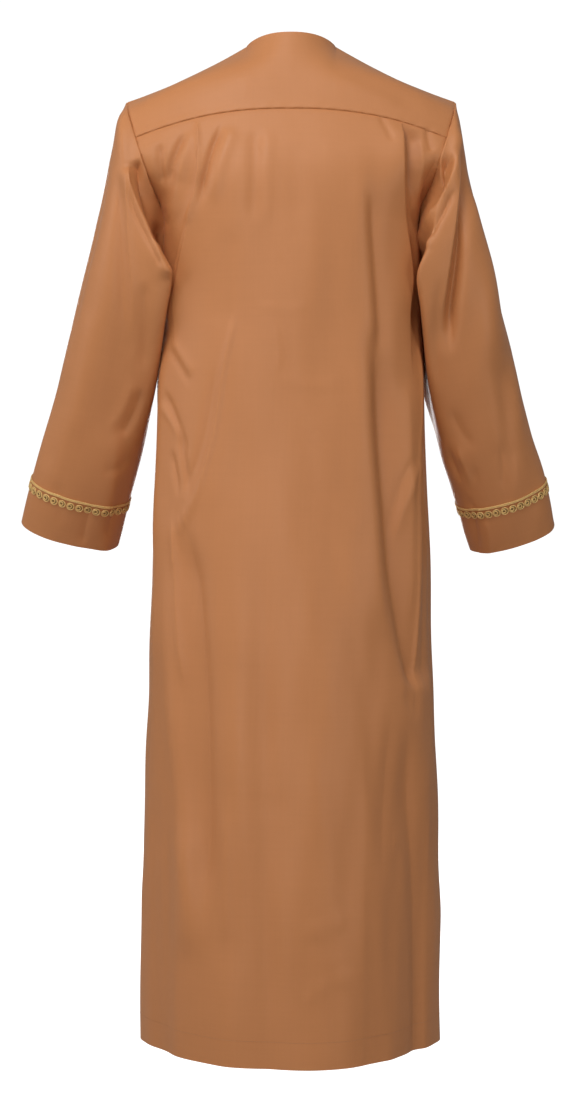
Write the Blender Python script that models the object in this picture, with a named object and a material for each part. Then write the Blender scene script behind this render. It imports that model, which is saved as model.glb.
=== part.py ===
"""Men's thobe in its worn form: long robe, one-piece back yoke, pleated back, set-in sleeves, gold braid.

Sizes are in centimetres and are turned into metres when a mesh is made. The origin is the middle of the
neck opening, level with its two side points. +Z is up, +X is the wearer's left and -Y is the front.
"""

import math
from collections import namedtuple

import bpy
import numpy as np

CM = 0.01

# Driving dimensions
HEM_Z = -139.7
ARMHOLE_Z = -25.0
UNDERARM_Z = -30.5
SHOULDER_HALF = 22.8
SHOULDER_Z = -7.8
SHOULDER_Y = 0.8
RIDGE_BEND = 0.008
NECK_HALF = 6.2
NAPE_Y = 5.8
NAPE_Z = 1.0
NECK_FRONT_Y = -5.9
NECK_FRONT_Z = -8.0
YOKE_FRONT_REACH = 2.5
YOKE_FRONT_DROP = 1.5
YOKE_FRONT_BULGE = (0.0, -0.45, 0.35)
NECK_SEAM_ANGLE = math.radians(22)
WALL = 0.17
SEAM_GAP = 0.03
SLIT_WIDTH = 0.4
SLIT_END_Z = -36.0
PLACKET_WIDTH = 3.4
PLACKET_PAST_SLIT = 5.0
BAND_WALL = 0.12
BAND_GAP = 0.03
BRAID_TOP = 6.6
BRAID_HEIGHT = 1.75
RINGS = 28
BUTTONS = 4
BUTTON_RADIUS = 0.57
BUTTON_HEIGHT = 0.26
BUTTON_SIDES = 16
BUTTON_CLEARANCE = 0.02
FIRST_BUTTON_DOWN = 1.6
LAST_BUTTON_UP = 3.0
# Outline of a button from its back to its dished face, as shares of its radius and height
ButtonRow = namedtuple("ButtonRow", "radius height")
BUTTON_PROFILE = (
    ButtonRow(0.86, 0.0),
    ButtonRow(1.0, 0.3),
    ButtonRow(1.0, 0.75),
    ButtonRow(0.86, 1.0),
    ButtonRow(0.6, 0.72),
)

# Body rings below the armholes. middle is the y of the widest line, twist the turn of the side seams
BodyRing = namedtuple("BodyRing", "z half_width back front middle roundness twist")
BODY_RINGS = (
    BodyRing(HEM_Z, 21.1, 16.7, -17.2, -2.2, 1.9, 8),
    BodyRing(-120, 21.0, 16.2, -16.6, -2.0, 1.95, 8),
    BodyRing(-100, 20.7, 15.4, -15.8, -1.8, 2.0, 8),
    BodyRing(-80, 20.0, 14.4, -14.8, -1.4, 2.05, 8),
    BodyRing(-65, 19.5, 13.4, -14.0, -1.0, 2.1, 7),
    BodyRing(-55, 19.1, 12.8, -13.6, -1.0, 2.12, 5),
    BodyRing(-46, 18.8, 12.6, -13.3, -1.1, 2.12, 2),
    BodyRing(-38, 18.3, 12.6, -13.0, -1.0, 2.15, 0),
    BodyRing(-31, 17.9, 12.7, -12.7, -0.5, 2.25, 0),
    BodyRing(ARMHOLE_Z, 17.7, 12.8, -12.3, 0.2, 2.45, 0),
)
BODY_ROWS = (HEM_Z, -136.2, -127, -117, -107, -97, -87, -77, -68, -60, -53, -46, -40, -35, -30, ARMHOLE_Z)

# Rows across the back and the front above the armholes. edge is the armhole, bow the power of the arc
StripRow = namedtuple("StripRow", "height z_mid z_edge y_mid y_edge x_edge bow_z bow_y")
BACK_STRIP = (
    StripRow(7.0, -18.0, -18.4, 12.6, 8.2, 19.7, 2.0, 2.3),
    StripRow(15.3, -10.05, -13.65, 9.8, 7.3, 21.2, 2.3, 2.2),
    StripRow(20.6, -3.5, -9.9, 7.6, 4.7, 22.4, 2.0, 1.5),
)
FRONT_STRIP = (
    StripRow(7.0, -18.3, -18.6, -11.3, -6.6, 19.6, 2.0, 2.2),
    StripRow(12.5, -13.0, -13.8, -8.9, -5.4, 21.1, 2.0, 2.0),
)
TOP_HEIGHT = 26.0
FRONT_SEAM_HEIGHT = 17.5

# Sections of a left sleeve from the cap to the cuff. flap is the slack cloth behind the underarm
SleeveSection = namedtuple(
    "SleeveSection", "out_x out_y out_z in_x in_y in_z back front droop roundness flap flap_angle evenness")
SLEEVE_SECTIONS = (
    SleeveSection(24.0, 0.9, -10.3, 19.1, 0.0, -30.9, 8.2, 7.2, 0.00, 2.30, 1.2, 120, 0.25),
    SleeveSection(24.8, 0.7, -14.6, 19.6, 0.0, -32.0, 8.6, 7.4, 0.00, 2.30, 3.2, 130, 0.50),
    SleeveSection(26.2, 0.4, -20.5, 19.8, 0.0, -34.0, 8.6, 7.4, 0.00, 2.25, 5.0, 138, 0.75),
    SleeveSection(28.4, -0.4, -29.6, 19.8, -0.3, -37.4, 8.0, 7.0, 0.05, 2.20, 4.2, 142, 1.0),
    SleeveSection(30.6, -1.7, -38.2, 19.8, -1.4, -42.5, 7.0, 6.3, 0.10, 2.15, 3.1, 146, 1.0),
    SleeveSection(33.0, -3.2, -46.8, 20.1, -3.0, -49.0, 6.1, 5.8, 0.16, 2.10, 1.7, 150, 1.0),
    SleeveSection(35.6, -5.2, -55.0, 21.2, -5.3, -56.6, 5.2, 5.2, 0.25, 2.10, 0.4, 150, 1.0),
    SleeveSection(37.8, -7.8, -62.1, 23.4, -8.3, -64.1, 4.6, 4.6, 0.35, 2.10, 0.0, 150, 1.0),
    SleeveSection(39.1, -10.0, -66.5, 25.1, -10.9, -69.8, 4.3, 4.3, 0.38, 2.10, 0.0, 150, 1.0),
)
# What sets one sleeve off from the table: inner cuff corner out and down, share of the slack, narrower by
Swing = namedtuple("Swing", "cuff_out cuff_down slack narrower")
SWING = {"left": Swing(0.0, 0.0, 1.0, 0.0), "right": Swing(0.9, -0.6, 1.0, 0.7)}
OUTER_FOLLOWS = 0.4
FLAP_SPREAD = 26.0
FLAP_WAY = (-0.78, 0.62, 0.0)
SLEEVE_ROWS = (0, 0.35, 0.65, 1, 1.5, 2, 2.5, 3, 3.5, 4, 4.5, 5, 5.5, 6, 6.5, 7, 7.45)
CUFF_ROWS = (BRAID_TOP, BRAID_TOP - BRAID_HEIGHT, 2.4, 0.0)

# Where a pleat's outer edge runs down the back, by height
PleatRow = namedtuple("PleatRow", "z left right")
PLEATS = (
    PleatRow(-45.0, 16.2, -16.6),
    PleatRow(-38.0, 15.9, -16.2),
    PleatRow(-31.5, 14.9, -16.1),
    PleatRow(-24.3, 13.4, -15.3),
    PleatRow(-15.7, 12.5, -15.0),
    PleatRow(-11.0, 12.9, -14.9),
)
PLEAT_STEP = 0.45
PLEAT_LEAD = 0.7
PLEAT_RELEASE = (-44.0, -118.0)

# Columns across the back and front: index of each column that follows a line of the cut
BACK_COLUMNS = {"edge": 0, "left_step": 3, "left_pleat": 4, "left_lead": 5, "left_neck": 8, "middle": 12,
                "right_neck": 16, "right_lead": 19, "right_pleat": 20, "right_step": 21, "far_edge": 24}
FRONT_COLUMNS = {"edge": 0, "left_neck": 8, "left_band": 10, "left_slit": 11, "right_slit": 12,
                 "right_band": 13, "right_neck": 15, "far_edge": 23}
SIDE_COLUMNS = 3
DIP_POWER = 0.4
ARMHOLE_CALM_ROWS = 2.6
LEAST_MITRE = 0.5
LEAST_SPACING = 0.38
SIDE_ARC = ((-60.0, 5.6), (-46.0, 3.6), (-36.0, 3.0), (-31.0, 4.2), (ARMHOLE_Z, 6.0))
BACK_RISE = (0, 2.4, 4.8, 7.4, 10.2, 12.8, 15.3, 18.0, 20.6, 23.4, TOP_HEIGHT)
BACK_PANEL_RISES = 6
FRONT_RISE = (0, 3.5, 7.0, 10.5, 14.0, FRONT_SEAM_HEIGHT)
YOKE_FRONT_RISES = 2

# Large folds. A path runs through (x, z) as seen from behind or in front; height is out of the cloth
Fold = namedtuple("Fold", "piece side path width height")
FOLDS = (
    Fold("body", 1, ((14.5, -11.5), (15.6, -16), (16.6, -20)), 1.1, -0.55),
    Fold("body", 1, ((9.1, -11.5), (10.8, -17), (12.2, -24)), 1.2, -0.45),
    Fold("body", 1, ((-17.7, -12.0), (-18.6, -16)), 1.0, -0.5),
    Fold("body", 1, ((-20.3, -14), (-19.3, -18.7), (-18.0, -24)), 0.9, -0.6),
    Fold("body", 1, ((5.0, -14), (5.0, -26)), 1.5, -0.2),
    Fold("body", 1, ((-9.6, -17), (-9.9, -27)), 1.5, -0.25),
    Fold("body", 1, ((-10.2, -33), (-11.3, -46), (-12.6, -63), (-15.7, -91)), 2.4, -1.0),
    Fold("body", 1, ((16.8, -50), (16.2, -78), (12.6, -103), (12.2, -124)), 2.6, -1.1),
    Fold("body", 1, ((9.5, -40), (10.2, -51), (15.6, -68)), 1.6, 0.4),
    Fold("body", 1, ((-10.0, -106), (-12.0, -124), (-14.6, -141)), 3.0, -0.8),
    Fold("body", 1, ((-2.0, -60), (-5.0, -100), (-8.0, -141)), 5.5, 0.9),
    Fold("body", -1, ((11.0, -24), (12.5, -50), (13.5, -92)), 2.6, -0.9),
    Fold("body", -1, ((-11.0, -26), (-12.0, -56), (-14.0, -98)), 2.6, -0.9),
    Fold("body", -1, ((7.0, -70), (9.0, -141)), 3.0, 0.8),
    Fold("body", -1, ((-8.0, -76), (-9.5, -141)), 3.0, 0.8),
    Fold("sleeve_left", 1, ((22.2, -17.5), (21.0, -22.5), (19.4, -26.5), (17.6, -31)), 1.0, 1.0),
    Fold("sleeve_left", 1, ((20.4, -15.5), (19.4, -21), (18.6, -25.5)), 0.9, -0.9),
    Fold("sleeve_left", 1, ((22.6, -25), (22.0, -32), (21.8, -40)), 1.3, 0.5),
    Fold("sleeve_left", 1, ((21.0, -48), (24.0, -54)), 1.3, -0.5),
    Fold("sleeve_left", -1, ((23.0, -22), (24.0, -40), (26.5, -54)), 1.8, -0.6),
    Fold("sleeve_right", 1, ((-22.6, -17.5), (-20.8, -23), (-19.4, -26), (-17.8, -30)), 1.0, 1.0),
    Fold("sleeve_right", 1, ((-20.6, -15.5), (-19.6, -20), (-18.8, -24)), 0.9, -0.8),
    Fold("sleeve_right", 1, ((-23.6, -12), (-22.9, -21), (-22.3, -32), (-21.6, -42)), 1.2, 0.7),
    Fold("sleeve_right", 1, ((-24.6, -16), (-24.0, -26), (-23.0, -38)), 1.1, -0.5),
    Fold("sleeve_right", -1, ((-23.0, -22), (-24.5, -40), (-27.0, -54)), 1.8, -0.6),
)
FOLD_TAPER = 0.22
# Knife pleats: rise to the edge and how far in from it, drop behind it and how far out, the left one softer
PLEAT_RISE = 0.55
PLEAT_DROP = 0.75
PLEAT_RISE_REACH = 2.4
PLEAT_DROP_REACH = 2.2
PLEAT_SHARPNESS = {"left": 0.62, "right": 1.0}
PLEAT_FADE = (-38.0, -26.0)

# Relief of the braid down its height: share of the height, then how thick it is between two rings, on a
# ring's rim and at its centre. The lower edge is notched between the rings
BraidRow = namedtuple("BraidRow", "down notch rim centre")
BRAID_RELIEF = (
    BraidRow(0.00, 0.10, 0.10, 0.10),
    BraidRow(0.08, 0.20, 0.20, 0.20),
    BraidRow(0.17, 0.20, 0.20, 0.20),
    BraidRow(0.26, 0.10, 0.10, 0.10),
    BraidRow(0.36, 0.09, 0.08, 0.17),
    BraidRow(0.63, 0.09, 0.19, 0.07),
    BraidRow(0.90, 0.09, 0.08, 0.17),
    BraidRow(1.00, 0.09, 0.07, 0.08),
)
RING_MIDDLE = 0.63
RING_STEPS = 4
NOTCH = 0.45

MATERIALS = {
    "cloth": ((0.445, 0.205, 0.088), 0.55, 0.0),
    "braid": ((0.72, 0.50, 0.17), 0.38, 0.35),
    "buttons": ((0.36, 0.16, 0.07), 0.35, 0.0),
}


def smooth_step(low, high, value):
    """Rises from 0 at low to 1 at high; low may be the larger."""
    share = np.clip((np.asarray(value, float) - low) / (high - low), 0, 1)
    return share * share * (3 - 2 * share)


def spline(at, knots, values):
    """Smooth curve through values at rising knots, read at one place or at many."""
    knots, values = np.asarray(knots, float), np.asarray(values, float)
    slopes = np.gradient(values, knots, axis=0)
    at = np.asarray(at, float)
    low = np.clip(np.searchsorted(knots, at, side="right") - 1, 0, len(knots) - 2)
    span = knots[low + 1] - knots[low]
    share = (at - knots[low]) / span
    while share.ndim < values[low].ndim:
        share, span = share[..., None], span[..., None]
    square, cube = share**2, share**3
    return ((2 * cube - 3 * square + 1) * values[low] + (cube - 2 * square + share) * span * slopes[low]
            + (3 * square - 2 * cube) * values[low + 1] + (cube - square) * span * slopes[low + 1])


def signed_power(value, power):
    return np.sign(value) * np.abs(value) ** power


def arc_lengths(points):
    return np.concatenate([[0], np.cumsum(np.linalg.norm(np.diff(points, axis=0), axis=1))])


def read_arcs(points, arcs):
    """Points of a polyline at the given distances along it."""
    along = arc_lengths(points)
    return np.stack([np.interp(arcs, along, points[:, axis]) for axis in range(3)], axis=-1)


# The body form

def ring_table(field, z):
    rows = [row.z for row in BODY_RINGS]
    return spline(z, rows, [getattr(row, field) for row in BODY_RINGS])


def ring_point(angle, z):
    """A point of the body ring at height z; angle 0 is the wearer's left, 90 degrees the back."""
    power = 2 / ring_table("roundness", z)
    cosine, sine = np.cos(angle), np.sin(angle)
    middle = ring_table("middle", z)
    depth = np.where(sine > 0, ring_table("back", z) - middle, middle - ring_table("front", z))
    x = ring_table("half_width", z) * signed_power(cosine, power)
    y = middle + depth * signed_power(sine, power)
    return np.stack([x, y, np.broadcast_to(z, x.shape)], axis=-1)


def pleat_x(side, z):
    return spline(np.clip(z, PLEATS[0].z, PLEATS[-1].z), [row.z for row in PLEATS],
                  [getattr(row, side) for row in PLEATS])


def column_targets(side, z, pleated):
    """The x that chosen columns follow at height z, by column index."""
    if side > 0:
        columns, band = BACK_COLUMNS, {}
        if pleated:
            left, right = pleat_x("left", z), pleat_x("right", z)
            band = {"left_step": left + PLEAT_STEP, "left_pleat": left, "left_lead": left - PLEAT_LEAD,
                    "right_lead": right + PLEAT_LEAD, "right_pleat": right, "right_step": right - PLEAT_STEP}
        band["middle"] = 0.0
    else:
        columns = FRONT_COLUMNS
        band = {"left_band": PLACKET_WIDTH / 2, "left_slit": SLIT_WIDTH / 2,
                "right_slit": -SLIT_WIDTH / 2, "right_band": -PLACKET_WIDTH / 2}
    band.update(left_neck=NECK_HALF, right_neck=-NECK_HALF)
    return {columns[name]: x for name, x in band.items()}


def spread_columns(points, targets, first, last, start_arc, end_arc, release=0.0):
    """Distances along a section for columns first to last: some follow an x, the rest share the room."""
    along = arc_lengths(points)
    picked = {first: start_arc, last: end_arc}
    for column, x in targets.items():
        arc = np.interp(-x, -points[:, 0], along)
        even = start_arc + (end_arc - start_arc) * (column - first) / (last - first)
        picked[column] = arc + (even - arc) * release
    columns = sorted(picked)
    arcs = [picked[column] for column in columns]
    for here in range(1, len(arcs)):
        arcs[here] = max(arcs[here], arcs[here - 1] + LEAST_SPACING)
    for here in range(len(arcs) - 2, -1, -1):
        arcs[here] = min(arcs[here], arcs[here + 1] - LEAST_SPACING)
    return np.interp(np.arange(first, last + 1), columns, arcs)


def ring_block(side):
    """Grid of one half of the body from the hem to the armholes; columns run from left to right."""
    strip_columns = max((BACK_COLUMNS if side > 0 else FRONT_COLUMNS).values())
    count = strip_columns + 2 * SIDE_COLUMNS
    grid = np.zeros((len(BODY_ROWS), count + 1, 3))
    for row, z in enumerate(BODY_ROWS):
        twist = math.radians(float(ring_table("twist", z)))
        angles = np.linspace(0, math.pi, 721) * side - twist
        section = ring_point(angles, z)
        along = arc_lengths(section)
        side_arc = np.interp(z, [entry[0] for entry in SIDE_ARC], [entry[1] for entry in SIDE_ARC])
        release = smooth_step(*PLEAT_RELEASE, z)
        inner = spread_columns(section, column_targets(side, z, pleated=z > PLEAT_RELEASE[1]),
                               0, strip_columns, side_arc, along[-1] - side_arc, release if side > 0 else 0.0)
        lead = np.linspace(0, side_arc, SIDE_COLUMNS + 1)[:-1]
        arcs = np.concatenate([lead, inner, along[-1] - lead[::-1]])
        angle = np.interp(arcs, along, angles)
        from_side = np.minimum(np.arange(count + 1), count - np.arange(count + 1)) / SIDE_COLUMNS
        dip = np.cos(np.clip(from_side, 0, 1) * math.pi / 2) ** DIP_POWER * smooth_step(-60, ARMHOLE_Z, z)
        grid[row] = ring_point(angle, z + (UNDERARM_Z - ARMHOLE_Z) * dip)
    return grid


def strip_section(row, side):
    """Half-worked curve across the back or front at one row of a strip table."""
    share = np.linspace(1, -1, 401)
    z = row.z_edge + (row.z_mid - row.z_edge) * (1 - np.abs(share) ** row.bow_z)
    y = row.y_edge + (row.y_mid - row.y_edge) * (1 - np.abs(share) ** row.bow_y)
    return np.stack([share * row.x_edge, y, z], axis=-1)


def ridge_z(x):
    """Height of the shoulder ridge at x, steeper beside the neck."""
    reach = np.abs(x) - NECK_HALF
    whole = SHOULDER_HALF - NECK_HALF
    slope = SHOULDER_Z / whole - RIDGE_BEND * whole
    return slope * reach + RIDGE_BEND * reach**2


def ridge_y(x):
    return SHOULDER_Y * (np.abs(x) - NECK_HALF) / (SHOULDER_HALF - NECK_HALF)


def top_section():
    """The shoulder ridge on both sides and the back of the neckline between them."""
    shoulder_x = np.linspace(SHOULDER_HALF, NECK_HALF, 161)
    left = np.stack([shoulder_x, ridge_y(shoulder_x), ridge_z(shoulder_x)], axis=-1)
    angle = np.linspace(0, math.pi, 181)[1:-1]
    rise = 1 - np.abs(np.cos(angle)) ** 3.5
    neck = np.stack([NECK_HALF * np.cos(angle), NAPE_Y * np.sin(angle), NAPE_Z * rise], axis=-1)
    return np.concatenate([left, neck, left[::-1] * (-1, 1, 1)])


def neck_front(angle):
    """The front of the neckline; angle 0 is its left side point and 90 degrees the middle."""
    sine = np.sin(angle)
    return np.stack([NECK_HALF * np.cos(angle), NECK_FRONT_Y * sine, NECK_FRONT_Z * sine**1.7], axis=-1)


def front_seam_section():
    """The front yoke seam on both shoulders and the front neckline between them."""
    corner = neck_front(NECK_SEAM_ANGLE)
    share = np.linspace(0, 1, 161)[:-1, None]
    tip = np.array([SHOULDER_HALF - 0.3, SHOULDER_Y - YOKE_FRONT_REACH, SHOULDER_Z - YOKE_FRONT_DROP])
    left = tip + (corner - tip) * share
    neck = neck_front(np.linspace(NECK_SEAM_ANGLE, math.pi - NECK_SEAM_ANGLE, 181))
    return np.concatenate([left, neck, left[::-1] * (-1, 1, 1)])


def across(section, side, z, pleated):
    """Points of a strip section at its columns."""
    columns = BACK_COLUMNS if side > 0 else FRONT_COLUMNS
    total = arc_lengths(section)[-1]
    arcs = spread_columns(section, column_targets(side, z, pleated), 0, columns["far_edge"], 0, total)
    return read_arcs(section, arcs)


def strip_block(side, ring_grid):
    """Grid of the back or front above the armholes, lofted through the strip rows."""
    inner = slice(SIDE_COLUMNS, ring_grid.shape[1] - SIDE_COLUMNS)
    table = BACK_STRIP if side > 0 else FRONT_STRIP
    knots, rows = [BODY_ROWS[-2] - ARMHOLE_Z, 0.0], [ring_grid[-2, inner], ring_grid[-1, inner]]
    for entry in table:
        knots.append(entry.height)
        rows.append(across(strip_section(entry, side), side, entry.z_mid, entry.z_mid < BACK_STRIP[2].z_mid))
    if side > 0:
        knots.append(TOP_HEIGHT)
        rows.append(across(top_section(), side, 0.0, pleated=False))
        return spline(np.array(BACK_RISE), knots, rows)
    knots.append(FRONT_SEAM_HEIGHT)
    rows.append(front_row())
    return spline(np.array(FRONT_RISE), knots, rows)


def front_row():
    """The front seam and neckline at the front columns."""
    section = front_seam_section()
    along = arc_lengths(section)
    targets = column_targets(-1, 0.0, pleated=False)
    corner = float(neck_front(NECK_SEAM_ANGLE)[0])
    targets[FRONT_COLUMNS["left_neck"]], targets[FRONT_COLUMNS["right_neck"]] = corner, -corner
    return read_arcs(section, spread_columns(section, targets, 0, FRONT_COLUMNS["far_edge"], 0, along[-1]))


def yoke_front_block(side_name, seam_row, ridge_row):
    """Grid of the yoke in front of one shoulder ridge, from the seam up to the ridge."""
    neck = FRONT_COLUMNS["left_neck"]
    if side_name == "left":
        low, high = seam_row[:neck + 1], ridge_row[:neck + 1]
    else:
        low, high = seam_row[-neck - 1:], ridge_row[-neck - 1:]
    share = np.linspace(0, 1, YOKE_FRONT_RISES + 1)[:, None, None]
    grid = low + (high - low) * share + np.array(YOKE_FRONT_BULGE) * np.sin(share * math.pi)
    inner = neck if side_name == "left" else 0
    angles = np.linspace(NECK_SEAM_ANGLE, 0, YOKE_FRONT_RISES + 1)
    rim = neck_front(angles)
    grid[:, inner] = rim if side_name == "left" else rim * (-1, 1, 1)
    return grid


# The sleeve form

def sleeve_section_curve(section, swing, share):
    """Closed curve of one sleeve section, from its outer edge round by the back; share is 0 to 1 down the sleeve."""
    near_cuff = share**3
    outer = np.array([section.out_x, section.out_y, section.out_z])
    inner = np.array([section.in_x, section.in_y, section.in_z])
    outer += (-swing.narrower, 0, OUTER_FOLLOWS * swing.cuff_down * near_cuff)
    inner += (swing.cuff_out * near_cuff, 0, swing.cuff_down * near_cuff)
    centre, half = (outer + inner) / 2, (outer - inner) / 2
    angle = np.linspace(0, 2 * math.pi, 721)
    power = 2 / section.roundness
    cosine, sine = signed_power(np.cos(angle), power), signed_power(np.sin(angle), power)
    depth = np.where(sine > 0, section.back, section.front)
    points = centre + cosine[:, None] * half
    points[:, 1] += depth * sine
    points[:, 2] -= section.droop * depth * sine
    away = np.degrees(angle) - section.flap_angle
    points += swing.slack * section.flap * np.exp(-(away / FLAP_SPREAD) ** 2)[:, None] * np.array(FLAP_WAY)
    return points


def sleeve_block(armhole, name):
    """Grid of a left sleeve, rows from the armhole to the cuff; armhole is its closed first row."""
    count = len(armhole) - 1
    first = arc_lengths(armhole) / arc_lengths(armhole)[-1]
    even = np.arange(count + 1) / count
    rows = [armhole]
    last = len(SLEEVE_SECTIONS)
    for number, section in enumerate(SLEEVE_SECTIONS, start=1):
        curve = sleeve_section_curve(section, SWING[name], number / last)
        share = first + (even - first) * section.evenness
        rows.append(read_arcs(curve, share * arc_lengths(curve)[-1]))
    knots = np.arange(len(rows), dtype=float)
    steps = np.linspace(SLEEVE_ROWS[-1], knots[-1], 61)
    middle = spline(steps, knots, rows).mean(axis=1)
    heights = arc_lengths(middle)[-1] - arc_lengths(middle)
    cuff_steps = np.interp(CUFF_ROWS, heights[::-1], steps[::-1])
    return spline(np.concatenate([SLEEVE_ROWS, cuff_steps]), knots, rows)


# Folds

def fold_lift(points, fold):
    """How far a fold moves each (x, z) point, and 0 away from it."""
    path = np.array(fold.path, float)
    knots = np.arange(len(path), dtype=float)
    steps = np.linspace(0, knots[-1], 25)
    curve = spline(steps, knots, path) if len(path) > 2 else path[0] + (path[1] - path[0]) * steps[:, None]
    best = np.full(len(points), np.inf)
    place = np.zeros(len(points))
    for here in range(len(curve) - 1):
        start, along = curve[here], curve[here + 1] - curve[here]
        share = np.clip(((points - start) @ along) / (along @ along), 0, 1)
        distance = np.linalg.norm(points - (start + share[:, None] * along), axis=1)
        nearer = distance < best
        best[nearer] = distance[nearer]
        place[nearer] = (here + share[nearer]) / (len(curve) - 1)
    ends = smooth_step(0, FOLD_TAPER, place) * smooth_step(1, 1 - FOLD_TAPER, place)
    return fold.height * np.exp(-(best / fold.width) ** 2) * ends


def pleat_lift(points, side_name):
    """The two knife pleats: the cloth rises to the edge and drops behind it, towards the arm."""
    sign = 1 if side_name == "left" else -1
    past = (points[:, 0] - pleat_x(side_name, points[:, 1])) * sign
    rise = PLEAT_RISE * np.exp(-(np.minimum(past, 0) / PLEAT_RISE_REACH) ** 2)
    dropped = smooth_step(0, PLEAT_STEP, past)
    recess = -PLEAT_DROP * np.exp(-(np.maximum(past - PLEAT_STEP, 0) / PLEAT_DROP_REACH) ** 2)
    lift = (rise * (1 - dropped) + recess * dropped) * PLEAT_SHARPNESS[side_name]
    near = smooth_step(5.5, 8.5, points[:, 0] * sign)
    seam = BACK_STRIP[1]
    seam_z = seam.z_edge + (seam.z_mid - seam.z_edge) * (1 - np.abs(points[:, 0] / seam.x_edge) ** seam.bow_z)
    return lift * near * smooth_step(*PLEAT_FADE, points[:, 1]) * smooth_step(0.1, 2.0, seam_z - points[:, 1])


def skin_normals(points, faces, panels):
    """Smooth normals, each panel counting alike at a seam, and how much longer a wall's corner is there."""
    _, same = np.unique(np.round(points, 4), axis=0, return_inverse=True)
    same = same.ravel()
    corners = points[faces]
    crossing = np.cross(corners[:, 2] - corners[:, 0], corners[:, 3] - corners[:, 1])
    total = np.zeros((same.max() + 1, 3))
    met = np.zeros(len(total))
    for panel in np.unique(panels):
        own = panels == panel
        part = np.zeros_like(total)
        for corner in range(4):
            np.add.at(part, same[faces[own, corner]], crossing[own])
        length = np.linalg.norm(part, axis=1)
        here = length > 0
        total[here] += part[here] / length[here, None]
        met += here
    length = np.linalg.norm(total, axis=1)
    mitre = 1 / np.maximum(length / met, LEAST_MITRE)
    return (total / length[:, None])[same], mitre[same]


class Skin:
    """All blocks of the garment as one outer surface."""

    def __init__(self):
        self.points, self.faces, self.panels, self.regions, self.grids = [], [], [], [], {}
        self.count = 0

    def add(self, name, grid, panel, region, flip, closed=False):
        if closed:
            grid = grid[:, :-1]
        rows, columns = grid.shape[:2]
        index = self.count + np.arange(rows * columns).reshape(rows, columns)
        if closed:
            index = np.concatenate([index, index[:, :1]], axis=1)
        quads = np.stack([index[:-1, :-1], index[:-1, 1:], index[1:, 1:], index[1:, :-1]], axis=-1)
        if flip:
            quads = quads[..., ::-1]
        self.points.append(grid.reshape(-1, 3))
        self.faces.append(quads.reshape(-1, 4))
        self.panels.append(np.full(quads.reshape(-1, 4).shape[0], panel, dtype=object))
        self.regions.append(np.full(rows * columns, region, dtype=object))
        self.grids[name] = index
        self.count += rows * columns

    def finish(self):
        self.points = np.concatenate(self.points)
        self.faces = np.concatenate(self.faces)
        self.panels = np.concatenate(self.panels)
        self.regions = np.concatenate(self.regions)

    def fold(self):
        """Moves the points by the large folds, out along the normals, alike where blocks meet."""
        normals, _ = skin_normals(self.points, self.faces, self.panels)
        lift = np.zeros(len(self.points))
        flat = self.points[:, [0, 2]]
        for fold in FOLDS:
            facing = smooth_step(0.05, 0.4, normals[:, 1] * fold.side)
            lift += np.where(self.regions == fold.piece, fold_lift(flat, fold) * facing, 0)
        facing = smooth_step(0.05, 0.3, normals[:, 1])
        for side_name in ("left", "right"):
            lift += np.where(self.regions == "body", pleat_lift(flat, side_name) * facing, 0)
        _, same = np.unique(np.round(self.points, 4), axis=0, return_inverse=True)
        same = same.ravel()
        body = self.regions == "body"
        shared = dict(zip(same[body], lift[body]))
        for name in ("left", "right"):
            grid = self.grids["sleeve_" + name]
            lift[grid] *= smooth_step(0, ARMHOLE_CALM_ROWS, np.arange(grid.shape[0]))[:, None]
            lift[grid[0]] = [shared[key] for key in same[grid[0]]]
        self.points = self.points + normals * lift[:, None]
        self.normals, self.mitre = skin_normals(self.points, self.faces, self.panels)


def build_skin():
    """The folded outer surface of the whole garment."""
    skin = Skin()
    ring_back, ring_front = ring_block(1), ring_block(-1)
    strip_back = strip_block(1, ring_back)
    strip_front = strip_block(-1, ring_front)
    ridge = strip_back[-1]
    skin.add("ring_back", ring_back, "back_panel", "body", flip=False)
    skin.add("ring_front", ring_front, "front_panel", "body", flip=True)
    skin.add("back", strip_back[:BACK_PANEL_RISES + 1], "back_panel", "body", flip=False)
    skin.add("yoke", strip_back[BACK_PANEL_RISES:], "back_yoke", "body", flip=False)
    skin.add("front", strip_front, "front_panel", "body", flip=True)
    for name in ("left", "right"):
        yoke_front = yoke_front_block(name, strip_front[-1], ridge)
        skin.add("yoke_front_" + name, yoke_front, "back_yoke", "body", flip=True)
        column, near = (0, 1) if name == "left" else (-1, -1)
        armhole = np.concatenate([
            strip_back[::-1, column],
            ring_back[-1, :SIDE_COLUMNS][::-1] if near == 1 else ring_back[-1, -SIDE_COLUMNS:],
            ring_front[-1, 1:SIDE_COLUMNS + 1] if near == 1 else ring_front[-1, -SIDE_COLUMNS - 1:-1][::-1],
            strip_front[1:, column],
            yoke_front[1:, column],
        ])
        mirror = np.array([near, 1, 1])
        sleeve = sleeve_block(armhole * mirror, name) * mirror
        skin.add("sleeve_" + name, sleeve, "sleeve_" + name, "sleeve_" + name, flip=near == 1, closed=True)
    skin.finish()
    skin.fold()
    return skin


# Walls

def weld(points, faces):
    """Drops repeated points, so that faces that meet share them."""
    _, first, same = np.unique(np.round(points, 4), axis=0, return_index=True, return_inverse=True)
    return first, same.ravel()[faces]


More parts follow.
